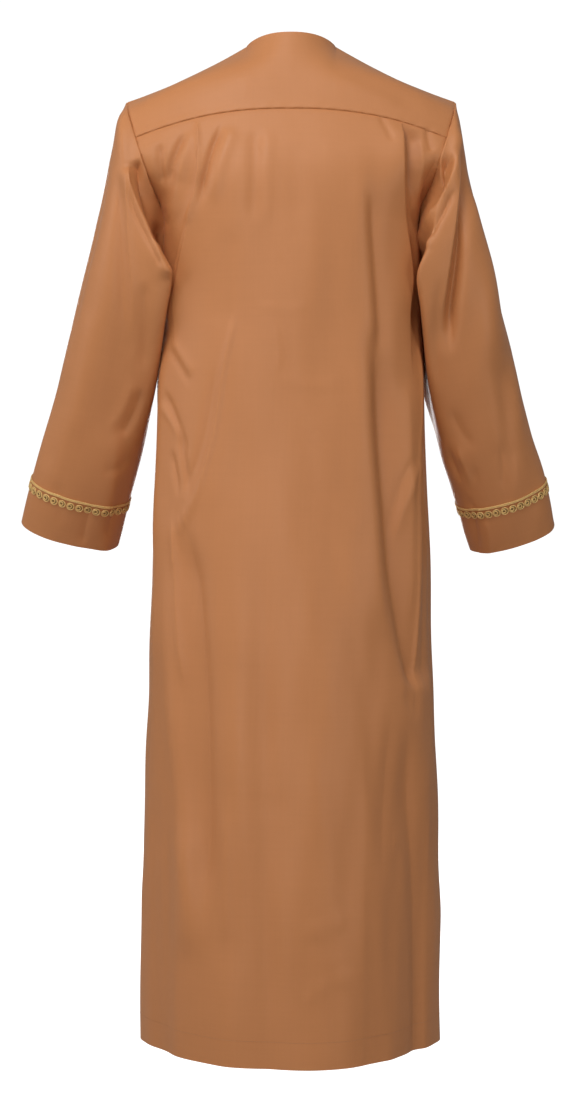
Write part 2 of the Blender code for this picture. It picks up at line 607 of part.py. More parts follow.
def edge_pull(points, normals, faces, gap):
    """Moves a panel's rim into the panel along its surface by half the seam gap."""
    sides = {}
    for face in faces:
        for here in range(4):
            sides[(face[here], face[(here + 1) % 4])] = face
    pulls = {}
    rim = [(start, end) for start, end in sides if (end, start) not in sides]
    for start, end in rim:
        along = points[end] - points[start]
        for vertex in (start, end):
            inward = np.cross(normals[vertex], along)
            pulls.setdefault(vertex, []).append(inward / np.linalg.norm(inward))
    moved = points.copy()
    for vertex, directions in pulls.items():
        total = np.sum(directions, axis=0)
        length = np.linalg.norm(total)
        bisector = total / length
        reach = max(float(np.dot(bisector, directions[0])), 0.5)
        moved[vertex] += bisector * gap / 2 / reach
    return moved, rim


def wall_solid(name, skin, faces, outside, inside, material):
    """One closed wall: the surface moved out by outside and in by inside, with a rim between."""
    first, faces = weld(skin.points, faces)
    used = np.unique(faces)
    renumber = np.full(len(first), -1)
    renumber[used] = np.arange(len(used))
    faces = renumber[faces]
    chosen = first[used]
    points, normals = skin.points[chosen], skin.normals[chosen]
    seam_points = np.round(points, 4)
    points, rim = edge_pull(points, normals, faces, SEAM_GAP)
    deep = normals * skin.mitre[chosen, None]
    shell = np.concatenate([points + deep * outside, points - deep * inside])
    count = len(points)
    triangles = []
    for a, b, c, d in faces:
        if np.linalg.norm(points[a] - points[c]) > np.linalg.norm(points[b] - points[d]):
            a, b, c, d = b, c, d, a
        triangles += [(a, b, c), (a, c, d)]
        triangles += [(c + count, b + count, a + count), (d + count, c + count, a + count)]
    for start, end in rim:
        if tuple(seam_points[start]) < tuple(seam_points[end]):
            triangles += [(end, start, start + count), (end, start + count, end + count)]
        else:
            triangles += [(end, start, end + count), (start, start + count, end + count)]
    return add_mesh(name, shell, triangles, material)


def add_mesh(name, points, faces, material, smooth_angle=35):
    """Makes the object from points in centimetres."""
    mesh = bpy.data.meshes.new(name)
    mesh.from_pydata([tuple(point * CM) for point in np.asarray(points)], [], [tuple(map(int, f)) for f in faces])
    mesh.materials.append(material)
    mesh.shade_smooth()
    mesh.set_sharp_from_angle(angle=math.radians(smooth_angle))
    mesh.update()
    piece = bpy.data.objects.new(name, mesh)
    bpy.context.scene.collection.objects.link(piece)
    return piece


def make_material(name):
    colour, roughness, metallic = MATERIALS[name]
    material = bpy.data.materials.new(name)
    material.use_nodes = True
    shader = material.node_tree.nodes["Principled BSDF"]
    shader.inputs["Base Color"].default_value = (*colour, 1)
    shader.inputs["Roughness"].default_value = roughness
    shader.inputs["Metallic"].default_value = metallic
    return material


# Pieces

def slit_faces(skin):
    """Which faces of the front lie in the slit at its middle."""
    middle = skin.points[skin.faces].mean(axis=1)
    in_front = (skin.panels == "front_panel") & (np.abs(middle[:, 0]) < SLIT_WIDTH / 2)
    return in_front & (middle[:, 2] > SLIT_END_Z)


def build_panels(skin, cloth):
    open_faces = slit_faces(skin)
    for panel in ("back_panel", "back_yoke", "front_panel", "sleeve_left", "sleeve_right"):
        chosen = (skin.panels == panel) & ~open_faces
        wall_solid(panel, skin, skin.faces[chosen], 0.0, WALL, cloth)


def band_faces(skin, low_z):
    """Faces of the front under the placket, down to low_z."""
    middle = skin.points[skin.faces].mean(axis=1)
    in_band = (skin.panels == "front_panel") & (np.abs(middle[:, 0]) < PLACKET_WIDTH / 2)
    return skin.faces[in_band & (middle[:, 2] > low_z)]


def build_placket(skin, cloth, button_material):
    faces = band_faces(skin, SLIT_END_Z - PLACKET_PAST_SLIT)
    wall_solid("placket_top", skin, faces, BAND_GAP + BAND_WALL, -BAND_GAP, cloth)
    wall_solid("placket_under", skin, faces, -WALL - BAND_GAP, WALL + BAND_GAP + BAND_WALL, cloth)
    build_buttons(skin, button_material)


def build_buttons(skin, material):
    """Round buttons down the middle of the placket, each square to the cloth."""
    strip = skin.grids["front"][:, FRONT_COLUMNS["left_slit"]]
    ring = skin.grids["ring_front"][:, SIDE_COLUMNS + FRONT_COLUMNS["left_slit"]]
    line = np.concatenate([ring[:-1], strip])
    heights = skin.points[line, 2]
    highest, lowest = NECK_FRONT_Z - FIRST_BUTTON_DOWN, SLIT_END_Z + LAST_BUTTON_UP
    for number in range(BUTTONS):
        z = highest + (lowest - highest) * number / (BUTTONS - 1)
        y = np.interp(z, heights, skin.points[line, 1])
        normal = np.array([0, *(np.interp(z, heights, skin.normals[line, axis]) for axis in (1, 2))])
        normal /= np.linalg.norm(normal)
        base = np.array([0, y, z]) + normal * (BAND_GAP * 2 + BAND_WALL + BUTTON_CLEARANCE)
        side = np.array([1.0, 0, 0])
        up = np.cross(normal, side)
        points, faces = [], []
        for profile in BUTTON_PROFILE:
            for step in range(BUTTON_SIDES):
                angle = step * math.tau / BUTTON_SIDES
                way = math.cos(angle) * side + math.sin(angle) * up
                points.append(base + profile.radius * BUTTON_RADIUS * way + normal * profile.height * BUTTON_HEIGHT)
        for level in range(len(BUTTON_PROFILE) - 1):
            for step in range(BUTTON_SIDES):
                a = level * BUTTON_SIDES + step
                b = level * BUTTON_SIDES + (step + 1) % BUTTON_SIDES
                faces.append((a, b, b + BUTTON_SIDES, a + BUTTON_SIDES))
        faces.append(tuple(reversed(range(BUTTON_SIDES))))
        faces.append(tuple(range(len(points) - BUTTON_SIDES, len(points))))
        add_mesh(f"button_{number + 1}", points, flip_if_inward(points, faces), material)


def flip_if_inward(points, faces):
    """Turns all faces round if they enclose a negative volume."""
    points = np.asarray(points)
    volume = 0.0
    for face in faces:
        for here in range(1, len(face) - 1):
            volume += np.dot(points[face[0]], np.cross(points[face[here]], points[face[here + 1]]))
    return faces if volume > 0 else [tuple(reversed(face)) for face in faces]


def build_braid(skin, name, material):
    """A band round the sleeve, plain inside, with a cord and a row of rings raised outside."""
    grid = skin.grids["sleeve_" + name]
    top, bottom = grid[-len(CUFF_ROWS)], grid[-len(CUFF_ROWS) + 1]
    columns = RINGS * RING_STEPS
    count = len(top) - 1
    lengths = arc_lengths(skin.points[top])
    places = np.interp(np.arange(columns) / columns * lengths[-1], lengths, np.arange(count + 1))
    for corner in range(count):
        places[np.argmin(np.abs(places - corner))] = corner
    whole = np.floor(places).astype(int)
    share = (places - whole)[:, None]

    def along(values, row):
        return values[row][whole] * (1 - share) + values[row][whole + 1] * share

    high, low = along(skin.points, top), along(skin.points, bottom)
    normal = along(skin.normals, top) + along(skin.normals, bottom)
    normal /= np.linalg.norm(normal, axis=1)[:, None]
    phase = np.arange(columns) % RING_STEPS
    between = phase == 0
    rows = []
    for entry in BRAID_RELIEF:
        notched = RING_MIDDLE + (entry.down - RING_MIDDLE) * NOTCH
        down = np.where(between & (entry.down > RING_MIDDLE), notched, entry.down)
        relief = np.where(phase == RING_STEPS // 2, entry.centre, np.where(between, entry.notch, entry.rim))
        rows.append(high + (low - high) * down[:, None] + normal * (BAND_GAP + relief)[:, None])
    scallop = np.where(between, RING_MIDDLE + (1 - RING_MIDDLE) * NOTCH, 1.0)[:, None]
    rows += [high + (low - high) * scallop + normal * BAND_GAP, high + normal * BAND_GAP]
    points = np.concatenate(rows)
    levels = len(rows)
    faces = []
    for level in range(levels):
        following = (level + 1) % levels
        for step in range(columns):
            after = (step + 1) % columns
            faces.append((level * columns + step, following * columns + step,
                          following * columns + after, level * columns + after))
    faces = flip_if_inward(points, faces)
    triangles = []
    for a, b, c, d in faces:
        triangles += [(a, b, c), (a, c, d)]
    add_mesh("braid_" + name, points, triangles, material, smooth_angle=50)


def main():
    for item in list(bpy.data.objects):
        bpy.data.objects.remove(item, do_unlink=True)
    cloth, braid, buttons = (make_material(name) for name in MATERIALS)
    skin = build_skin()
    build_panels(skin, cloth)
    build_placket(skin, cloth, buttons)
    for name in ("left", "right"):
        build_braid(skin, name, braid)


main()
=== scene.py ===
"""Looks of a men's thobe in its worn form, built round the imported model.

Sizes are in centimetres and become metres when a mesh is made. The origin is the middle of the neck
opening, level with its two side points. +Z is up, +X is the wearer's left and -Y is the front.
"""

from __future__ import annotations

import logging
import math
from collections.abc import Iterator
from dataclasses import dataclass, field
from enum import Enum
from functools import cached_property
from typing import ClassVar

import bpy
import numpy as np
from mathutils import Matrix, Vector


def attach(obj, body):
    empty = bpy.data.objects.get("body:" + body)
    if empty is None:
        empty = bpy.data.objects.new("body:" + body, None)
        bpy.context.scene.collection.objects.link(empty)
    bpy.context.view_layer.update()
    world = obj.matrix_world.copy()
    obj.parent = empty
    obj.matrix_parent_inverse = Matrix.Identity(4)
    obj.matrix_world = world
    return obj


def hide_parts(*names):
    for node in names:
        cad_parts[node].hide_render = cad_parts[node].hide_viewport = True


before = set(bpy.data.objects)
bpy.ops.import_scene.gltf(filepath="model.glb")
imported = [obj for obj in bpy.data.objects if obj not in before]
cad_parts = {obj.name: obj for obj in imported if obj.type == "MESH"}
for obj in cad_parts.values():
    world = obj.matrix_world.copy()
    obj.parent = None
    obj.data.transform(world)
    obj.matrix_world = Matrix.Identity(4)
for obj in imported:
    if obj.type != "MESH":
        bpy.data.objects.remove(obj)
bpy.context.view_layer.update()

LOG = logging.getLogger("thobe")
CM = 0.01
TINY = 1e-9
PANELS = ("back_panel", "back_yoke", "front_panel", "sleeve_left", "sleeve_right")
Points = np.ndarray
Solid = tuple[Points, list[Points], list[Points]]
Material = bpy.types.Material
Piece = bpy.types.Object
Tree = bpy.types.NodeTree
Socket = bpy.types.NodeSocket
Sockets = bpy.types.bpy_prop_collection


class Side(Enum):
    """The wearer's left or right; the value is the sign of x there."""

    LEFT = 1
    RIGHT = -1

    @property
    def word(self) -> str:
        """The side as it stands in names."""
        return self.name.lower()


class Face(Enum):
    """Which way a fold is seen from: axis it looks along, its sign, and the two axes of its drawing."""

    BACK = (1, 1, (0, 2))
    FRONT = (1, -1, (0, 2))
    LEFT = (0, 1, (1, 2))
    RIGHT = (0, -1, (1, 2))


class Crest(Enum):
    """How round a fold is across its line: the power of the distance from it."""

    SOFT = 2.0
    FIRM = 1.45
    SHARP = 1.1


SOFT, FIRM, SHARP = Crest


class Weave(Enum):
    """How a cloth's threads cross: lines to the metre and the slope of the twill."""

    TWILL = (1500.0, 1.1)
    PLAIN = (1900.0, 0.0)


# Curves


def smooth_step(low: float, high: float, value: Points | float) -> Points:
    """Rises from 0 at low to 1 at high; low may be the larger.

    Args:
        low: Value where the step starts.
        high: Value where it ends.
        value: Where to read it.

    Returns:
        The step at each value.
    """
    share = np.clip((np.asarray(value, float) - low) / (high - low), 0, 1)
    return share * share * (3 - 2 * share)


def spline(at: Points | float, knots: Points, values: Points) -> Points:
    """Smooth curve through values at rising knots.

    Args:
        at: One place or many.
        knots: Rising places of the values.
        values: A number or an array for each knot.

    Returns:
        The curve at those places.
    """
    knots, values = np.asarray(knots, float), np.asarray(values, float)
    slopes = np.gradient(values, knots, axis=0)
    at = np.asarray(at, float)
    low = np.clip(np.searchsorted(knots, at, side="right") - 1, 0, len(knots) - 2)
    span = knots[low + 1] - knots[low]
    share = (at - knots[low]) / span
    while share.ndim < values[low].ndim:
        share, span = share[..., None], span[..., None]
    square, cube = share**2, share**3
    return ((2 * cube - 3 * square + 1) * values[low] + (cube - 2 * square + share) * span * slopes[low]
            + (3 * square - 2 * cube) * values[low + 1] + (cube - square) * span * slopes[low + 1])


def signed_power(value: Points, power: Points | float) -> Points:
    """The power of a number's size, with its sign kept."""
    return np.sign(value) * np.abs(value) ** power


def arc_lengths(points: Points) -> Points:
    """Distance of each point along the line that they make."""
    return np.concatenate([[0], np.cumsum(np.linalg.norm(np.diff(points, axis=0), axis=1))])


def read_arcs(points: Points, arcs: Points) -> Points:
    """Points of a line at the given distances along it."""
    along = arc_lengths(points)
    return np.stack([np.interp(arcs, along, points[:, axis]) for axis in range(points.shape[1])], axis=-1)


def unit(vectors: Points) -> Points:
    """Vectors at length one."""
    return vectors / np.maximum(np.linalg.norm(vectors, axis=-1, keepdims=True), TINY)


CLOSE_STEPS = np.array([-3.2, -1.8, -0.8, 0, 0.8, 1.8, 3.2])
CLEAR_SHARE = 0.9


def graded(low: float, high: float, step: float, close: tuple[float, ...] = (), fine: float = 0.12) -> Points:
    """Places from low to high about a step apart, with a few more around chosen places.

    Args:
        low: First place.
        high: Last place.
        step: Usual distance between two.
        close: Places that get finer ones on both sides.
        fine: The finer distance.

    Returns:
        Rising places, each chosen place among them.
    """
    places = list(np.linspace(low, high, max(2, round((high - low) / step) + 1)))
    for middle in close:
        near = middle + fine * CLOSE_STEPS
        near = near[(near > low + fine / 3) & (near < high - fine / 3)]
        clear = [p for p in places if p in (low, high) or np.abs(p - near).min() > fine * CLEAR_SHARE]
        places = clear + list(near)
    return np.array(sorted(set(places)))


# The form: rows of named sizes


@dataclass(frozen=True)
class BodyRing:
    """One ring of the body below the armholes; middle is the y of the widest line."""

    z: float
    half_width: float
    back: float
    front: float
    middle: float
    roundness: float
    twist: float


@dataclass(frozen=True)
class StripRow:
    """One curve across the back or front above the armholes; edge is at the armhole, bow the arc's power."""

    height: float
    z_mid: float
    z_edge: float
    y_mid: float
    y_edge: float
    x_edge: float
    bow_z: float
    bow_y: float


@dataclass(frozen=True)
class PleatRow:
    """Where the two pleats' edges stand at one height."""

    z: float
    left: float
    right: float


@dataclass(frozen=True)
class SleeveSection:
    """One section of a left sleeve; flap is the slack cloth behind the underarm."""

    out_x: float
    out_y: float
    out_z: float
    in_x: float
    in_y: float
    in_z: float
    back: float
    front: float
    droop: float
    roundness: float
    flap: float
    flap_angle: float
    evenness: float


@dataclass(frozen=True)
class Swing:
    """What sets one sleeve off from the table: its inner cuff corner, slack, width and inner front."""

    cuff_out: float
    cuff_down: float
    slack: float
    narrower: float
    inner_front: float


@dataclass
class BodyForm:
    """The body of the garment, from the hem to the shoulder ridge and the neckline."""

    hem_z: float = -139.7
    armhole_z: float = -25.0
    underarm_z: float = -30.5
    low_knot_z: float = -30.0
    shoulder_half: float = 22.8
    shoulder_z: float = -7.8
    shoulder_y: float = 0.8
    ridge_bend: float = 0.008
    neck_half: float = 6.2
    nape_y: float = 5.8
    nape_z: float = 1.0
    nape_rise: float = 2.8
    nape_round: float = 1.25
    neck_front_y: float = -5.9
    neck_front_z: float = -8.0
    neck_front_round: float = 1.7
    neck_seam_angle: float = math.radians(22)
    yoke_front_reach: float = 2.5
    yoke_front_drop: float = 1.5
    yoke_front_bulge: tuple[float, float, float] = (0.0, -0.45, 0.35)
    yoke_front_inset: float = 0.3
    slit_width: float = 0.4
    placket_width: float = 3.4
    top_height: float = 26.0
    seam_height: float = 15.3
    front_seam_height: float = 17.5
    least_spacing: float = 0.38
    pleat_step: float = 0.3
    pleat_lead: float = 0.7
    pleat_release: tuple[float, float] = (-44.0, -118.0)
    dip_power: float = 0.4
    dip_from: float = -60.0
    ring_steps: int = 721
    strip_steps: int = 401
    shoulder_steps: int = 161
    neck_steps: int = 181
    neck_column: int = 8
    pleat_columns: tuple[int, int] = (4, 20)
    side_columns: int = 3
    back_columns: int = 24
    front_columns: int = 23
    rings: tuple[BodyRing, ...] = (
        BodyRing(-139.7, 21.1, 16.7, -17.2, -2.2, 1.9, 8),
        BodyRing(-120, 21.0, 16.2, -16.6, -2.0, 1.95, 8),
        BodyRing(-100, 20.7, 15.4, -15.8, -1.8, 2.0, 8),
        BodyRing(-80, 20.0, 14.4, -14.8, -1.4, 2.05, 8),
        BodyRing(-65, 19.5, 13.4, -14.0, -1.0, 2.1, 7),
        BodyRing(-55, 19.1, 12.8, -13.6, -1.0, 2.12, 5),
        BodyRing(-46, 18.8, 12.6, -13.3, -1.1, 2.12, 2),
        BodyRing(-38, 18.3, 12.6, -13.0, -1.0, 2.15, 0),
        BodyRing(-31, 17.9, 12.7, -12.7, -0.5, 2.25, 0),
        BodyRing(-25, 17.7, 12.8, -12.3, 0.2, 2.45, 0),
    )
    back_strip: tuple[StripRow, ...] = (
        StripRow(7.0, -18.0, -18.4, 12.6, 8.2, 19.7, 2.0, 2.3),
        StripRow(15.3, -10.05, -13.65, 9.8, 7.3, 21.2, 2.3, 2.2),
        StripRow(20.6, -3.5, -9.9, 7.6, 4.7, 22.4, 2.0, 1.5),
    )
    front_strip: tuple[StripRow, ...] = (
        StripRow(7.0, -18.3, -18.6, -11.3, -6.6, 19.6, 2.0, 2.2),
        StripRow(12.5, -13.0, -13.8, -8.9, -5.4, 21.1, 2.0, 2.0),
    )
    pleats: tuple[PleatRow, ...] = (
        PleatRow(-45.0, 16.2, -16.6),
        PleatRow(-38.0, 15.9, -16.2),
        PleatRow(-31.5, 14.9, -16.1),
        PleatRow(-24.3, 13.4, -15.3),
        PleatRow(-15.7, 12.5, -15.0),
        PleatRow(-11.0, 12.9, -14.9),
    )
    side_arc: tuple[tuple[float, float], ...] = (
        (-60.0, 5.6), (-46.0, 3.4), (-36.0, 2.8), (-31.0, 2.9), (-25.0, 3.2))

    def ring_value(self, name: str, z: Points | float) -> Points:
        """A column of the ring table at height z."""
        return spline(z, [ring.z for ring in self.rings], [getattr(ring, name) for ring in self.rings])

    def ring_point(self, angle: Points, z: Points | float) -> Points:
        """Points of the body ring at a height.

        Args:
            angle: Angles round the ring; 0 is the wearer's left, a quarter turn the back.
            z: The height, one for all or for each angle.

        Returns:
            The points.
        """
        power = 2 / self.ring_value("roundness", z)
        middle = self.ring_value("middle", z)
        sine = np.sin(angle)
        depth = np.where(sine > 0, self.ring_value("back", z) - middle, middle - self.ring_value("front", z))
        x = self.ring_value("half_width", z) * signed_power(np.cos(angle), power)
        return np.stack([x, middle + depth * signed_power(sine, power), np.broadcast_to(z, x.shape)], axis=-1)

    def pleat_x(self, side: Side, z: Points | float) -> Points:
        """The x of a pleat's edge at height z."""
        return spline(np.clip(z, self.pleats[0].z, self.pleats[-1].z), [row.z for row in self.pleats],
                      [getattr(row, side.word) for row in self.pleats])

    def targets(self, face: Face, z: float, pleated: bool) -> dict[int, float]:
        """The x that chosen columns follow at height z.

        Args:
            face: Back or front.
            z: Height.
            pleated: Whether the pleats are there.

        Returns:
            The x by column number.
        """
        found = {self.neck_column: self.neck_half}
        if face is Face.BACK:
            found |= {self.back_columns // 2: 0.0, self.back_columns - self.neck_column: -self.neck_half}
            if pleated:
                left, right = float(self.pleat_x(Side.LEFT, z)), float(self.pleat_x(Side.RIGHT, z))
                first, last = self.pleat_columns
                found |= {first - 1: left + self.pleat_step, first: left, first + 1: left - self.pleat_lead,
                          last - 1: right + self.pleat_lead, last: right, last + 1: right - self.pleat_step}
            return found
        slit, band, middle = self.slit_width / 2, self.placket_width / 2, self.front_columns // 2
        found |= {middle - 1: band, middle: slit, middle + 1: -slit, middle + 2: -band,
                  self.front_columns - self.neck_column: -self.neck_half}
        return found

    def spread(self, points: Points, targets: dict[int, float], columns: Points, start: float, end: float,
               release: float = 0.0) -> Points:
        """Distances along a section for the columns: some follow an x, the rest share the room.

        Args:
            points: The section.
            targets: The x by column number.
            columns: Where the mesh has its columns, counted in the table's columns.
            start: Distance of the first column.
            end: Distance of the last column.
            release: 1 where the columns are spread evenly again.

        Returns:
            A distance for each column.
        """
        along = arc_lengths(points)
        last = int(columns[-1])
        picked = {0: start, last: end}
        for column, x in targets.items():
            arc = float(np.interp(-x, -points[:, 0], along))
            even = start + (end - start) * column / last
            picked[column] = arc + (even - arc) * release
        names = sorted(picked)
        arcs = [picked[column] for column in names]
        for here in range(1, len(arcs)):
            arcs[here] = max(arcs[here], arcs[here - 1] + self.least_spacing)
        for here in range(len(arcs) - 2, -1, -1):
            arcs[here] = min(arcs[here], arcs[here + 1] - self.least_spacing)
        return np.interp(columns, names, arcs)

    def ring_rows(self, face: Face, heights: Points, columns: Points, lead: Points) -> Points:
        """Grid of one half of the body between the hem and the armholes.

        Args:
            face: Back or front.
            heights: z of each row.
            columns: Columns between the side columns, counted in the table's columns.
            lead: Columns beside the side seam, from 0 to side_columns, without the last.

        Returns:
            Points by row and column, from the wearer's left to right.
        """
        far = columns[-1] + 2 * self.side_columns
        whole = np.concatenate([lead, columns + self.side_columns, far - lead[::-1]])
        from_side = np.minimum(whole, whole[-1] - whole) / self.side_columns
        grid = np.zeros((len(heights), len(whole), 3))
        for row, z in enumerate(heights):
            twist = math.radians(float(self.ring_value("twist", z)))
            angles = np.linspace(0, math.pi, self.ring_steps) * face.value[1] - twist
            section = self.ring_point(angles, z)
            along = arc_lengths(section)
            side_arc = float(np.interp(z, *zip(*self.side_arc)))
            release = float(smooth_step(*self.pleat_release, z)) if face is Face.BACK else 0.0
            inner = self.spread(section, self.targets(face, z, z > self.pleat_release[1]), columns, side_arc,
                                along[-1] - side_arc, release)
            outer = lead / self.side_columns * side_arc
            angle = np.interp(np.concatenate([outer, inner, along[-1] - outer[::-1]]), along, angles)
            dip = np.cos(np.clip(from_side, 0, 1) * math.pi / 2) ** self.dip_power
            dip = dip * smooth_step(self.dip_from, self.armhole_z, z)
            grid[row] = self.ring_point(angle, z + (self.underarm_z - self.armhole_z) * dip)
        return grid

    def strip_section(self, row: StripRow) -> Points:
        """The curve across the back or front at one row of a strip table.

        Args:
            row: The row.

        Returns:
            Points from the wearer's left to right.
        """
        share = np.linspace(1, -1, self.strip_steps)
        z = row.z_edge + (row.z_mid - row.z_edge) * (1 - np.abs(share) ** row.bow_z)
        y = row.y_edge + (row.y_mid - row.y_edge) * (1 - np.abs(share) ** row.bow_y)
        return np.stack([share * row.x_edge, y, z], axis=-1)

    def ridge(self, x: Points) -> Points:
        """Points of the shoulder ridge, steeper beside the neck.

        Args:
            x: Where across the shoulders.

        Returns:
            The points.
        """
        whole = self.shoulder_half - self.neck_half
        reach = np.abs(x) - self.neck_half
        z = (self.shoulder_z / whole - self.ridge_bend * whole) * reach + self.ridge_bend * reach**2
        return np.stack([x, self.shoulder_y * reach / whole, z], axis=-1)

    def top_section(self) -> Points:
        """The shoulder ridge on both sides and the back of the neckline between them.

        Returns:
            Points from the wearer's left to right.
        """
        left = self.ridge(np.linspace(self.shoulder_half, self.neck_half, self.shoulder_steps))
        angle = np.linspace(0, math.pi, self.neck_steps)[1:-1]
        rise = 1 - np.abs(np.cos(angle)) ** self.nape_rise
        away = np.sin(angle) ** self.nape_round
        neck = np.stack([self.neck_half * np.cos(angle), self.nape_y * away, self.nape_z * rise], axis=-1)
        return np.concatenate([left, neck, left[::-1] * (-1, 1, 1)])

    def neck_front(self, angle: Points | float) -> Points:
        """The front of the neckline; angle 0 is its left side point and a quarter turn the middle."""
        sine = np.sin(angle)
        return np.stack([self.neck_half * np.cos(angle), self.neck_front_y * sine,
                         self.neck_front_z * sine**self.neck_front_round], axis=-1)

    def front_seam_section(self) -> Points:
        """The front yoke seam on both shoulders and the front neckline between them.

        Returns:
            Points from the wearer's left to right.
        """
        corner = self.neck_front(self.neck_seam_angle)
        share = np.linspace(0, 1, self.shoulder_steps)[:-1, None]
        tip = np.array([self.shoulder_half - self.yoke_front_inset, self.shoulder_y - self.yoke_front_reach,
                        self.shoulder_z - self.yoke_front_drop])
        left = tip + (corner - tip) * share
        angles = np.linspace(self.neck_seam_angle, math.pi - self.neck_seam_angle, self.neck_steps)
        neck = self.neck_front(angles)
        return np.concatenate([left, neck, left[::-1] * (-1, 1, 1)])

    def strip_rows(self, face: Face, rises: Points, columns: Points) -> Points:
        """Grid of the back or front above the armholes, lofted through the strip rows.

        Args:
            face: Back or front.
            rises: Heights of the rows above the armhole line, on the loft's own scale.
            columns: The columns, counted in the table's columns.

        Returns:
            Points by row and column.
        """
        heights = np.array([self.low_knot_z, self.armhole_z])
        low = self.ring_rows(face, heights, columns, np.array([0.0]))[:, 1:-1]
        knots, rows = [self.low_knot_z - self.armhole_z, 0.0], [low[0], low[1]]
        for entry in self.back_strip if face is Face.BACK else self.front_strip:
            section = self.strip_section(entry)
            pleated = entry.z_mid < self.back_strip[2].z_mid
            targets = self.targets(face, entry.z_mid, pleated)
            arcs = self.spread(section, targets, columns, 0, arc_lengths(section)[-1])
            knots.append(entry.height)
            rows.append(read_arcs(section, arcs))
        targets = self.targets(face, 0.0, False)
        if face is Face.BACK:
            section, last = self.top_section(), self.top_height
        else:
            section, last = self.front_seam_section(), self.front_seam_height
            corner = float(self.neck_front(self.neck_seam_angle)[0])
            targets |= {self.neck_column: corner, self.front_columns - self.neck_column: -corner}
        knots.append(last)
        rows.append(read_arcs(section, self.spread(section, targets, columns, 0, arc_lengths(section)[-1])))
        return spline(rises, knots, rows)

    def yoke_front(self, side: Side, seam: Points, ridge: Points, rows: int) -> Points:
        """Grid of the yoke in front of one shoulder ridge, from the seam up to the ridge.

        Args:
            side: Left or right.
            seam: The front seam from the shoulder to the neck.
            ridge: The shoulder ridge above it.
            rows: How many rises it has.

        Returns:
            Points by row and column.
        """
        share = np.linspace(0, 1, rows + 1)[:, None, None]
        grid = seam + (ridge - seam) * share + np.array(self.yoke_front_bulge) * np.sin(share * math.pi)
        inner = -1 if side is Side.LEFT else 0
        rim = self.neck_front(np.linspace(self.neck_seam_angle, 0, rows + 1))
        grid[:, inner] = rim * (side.value, 1, 1)
        return grid


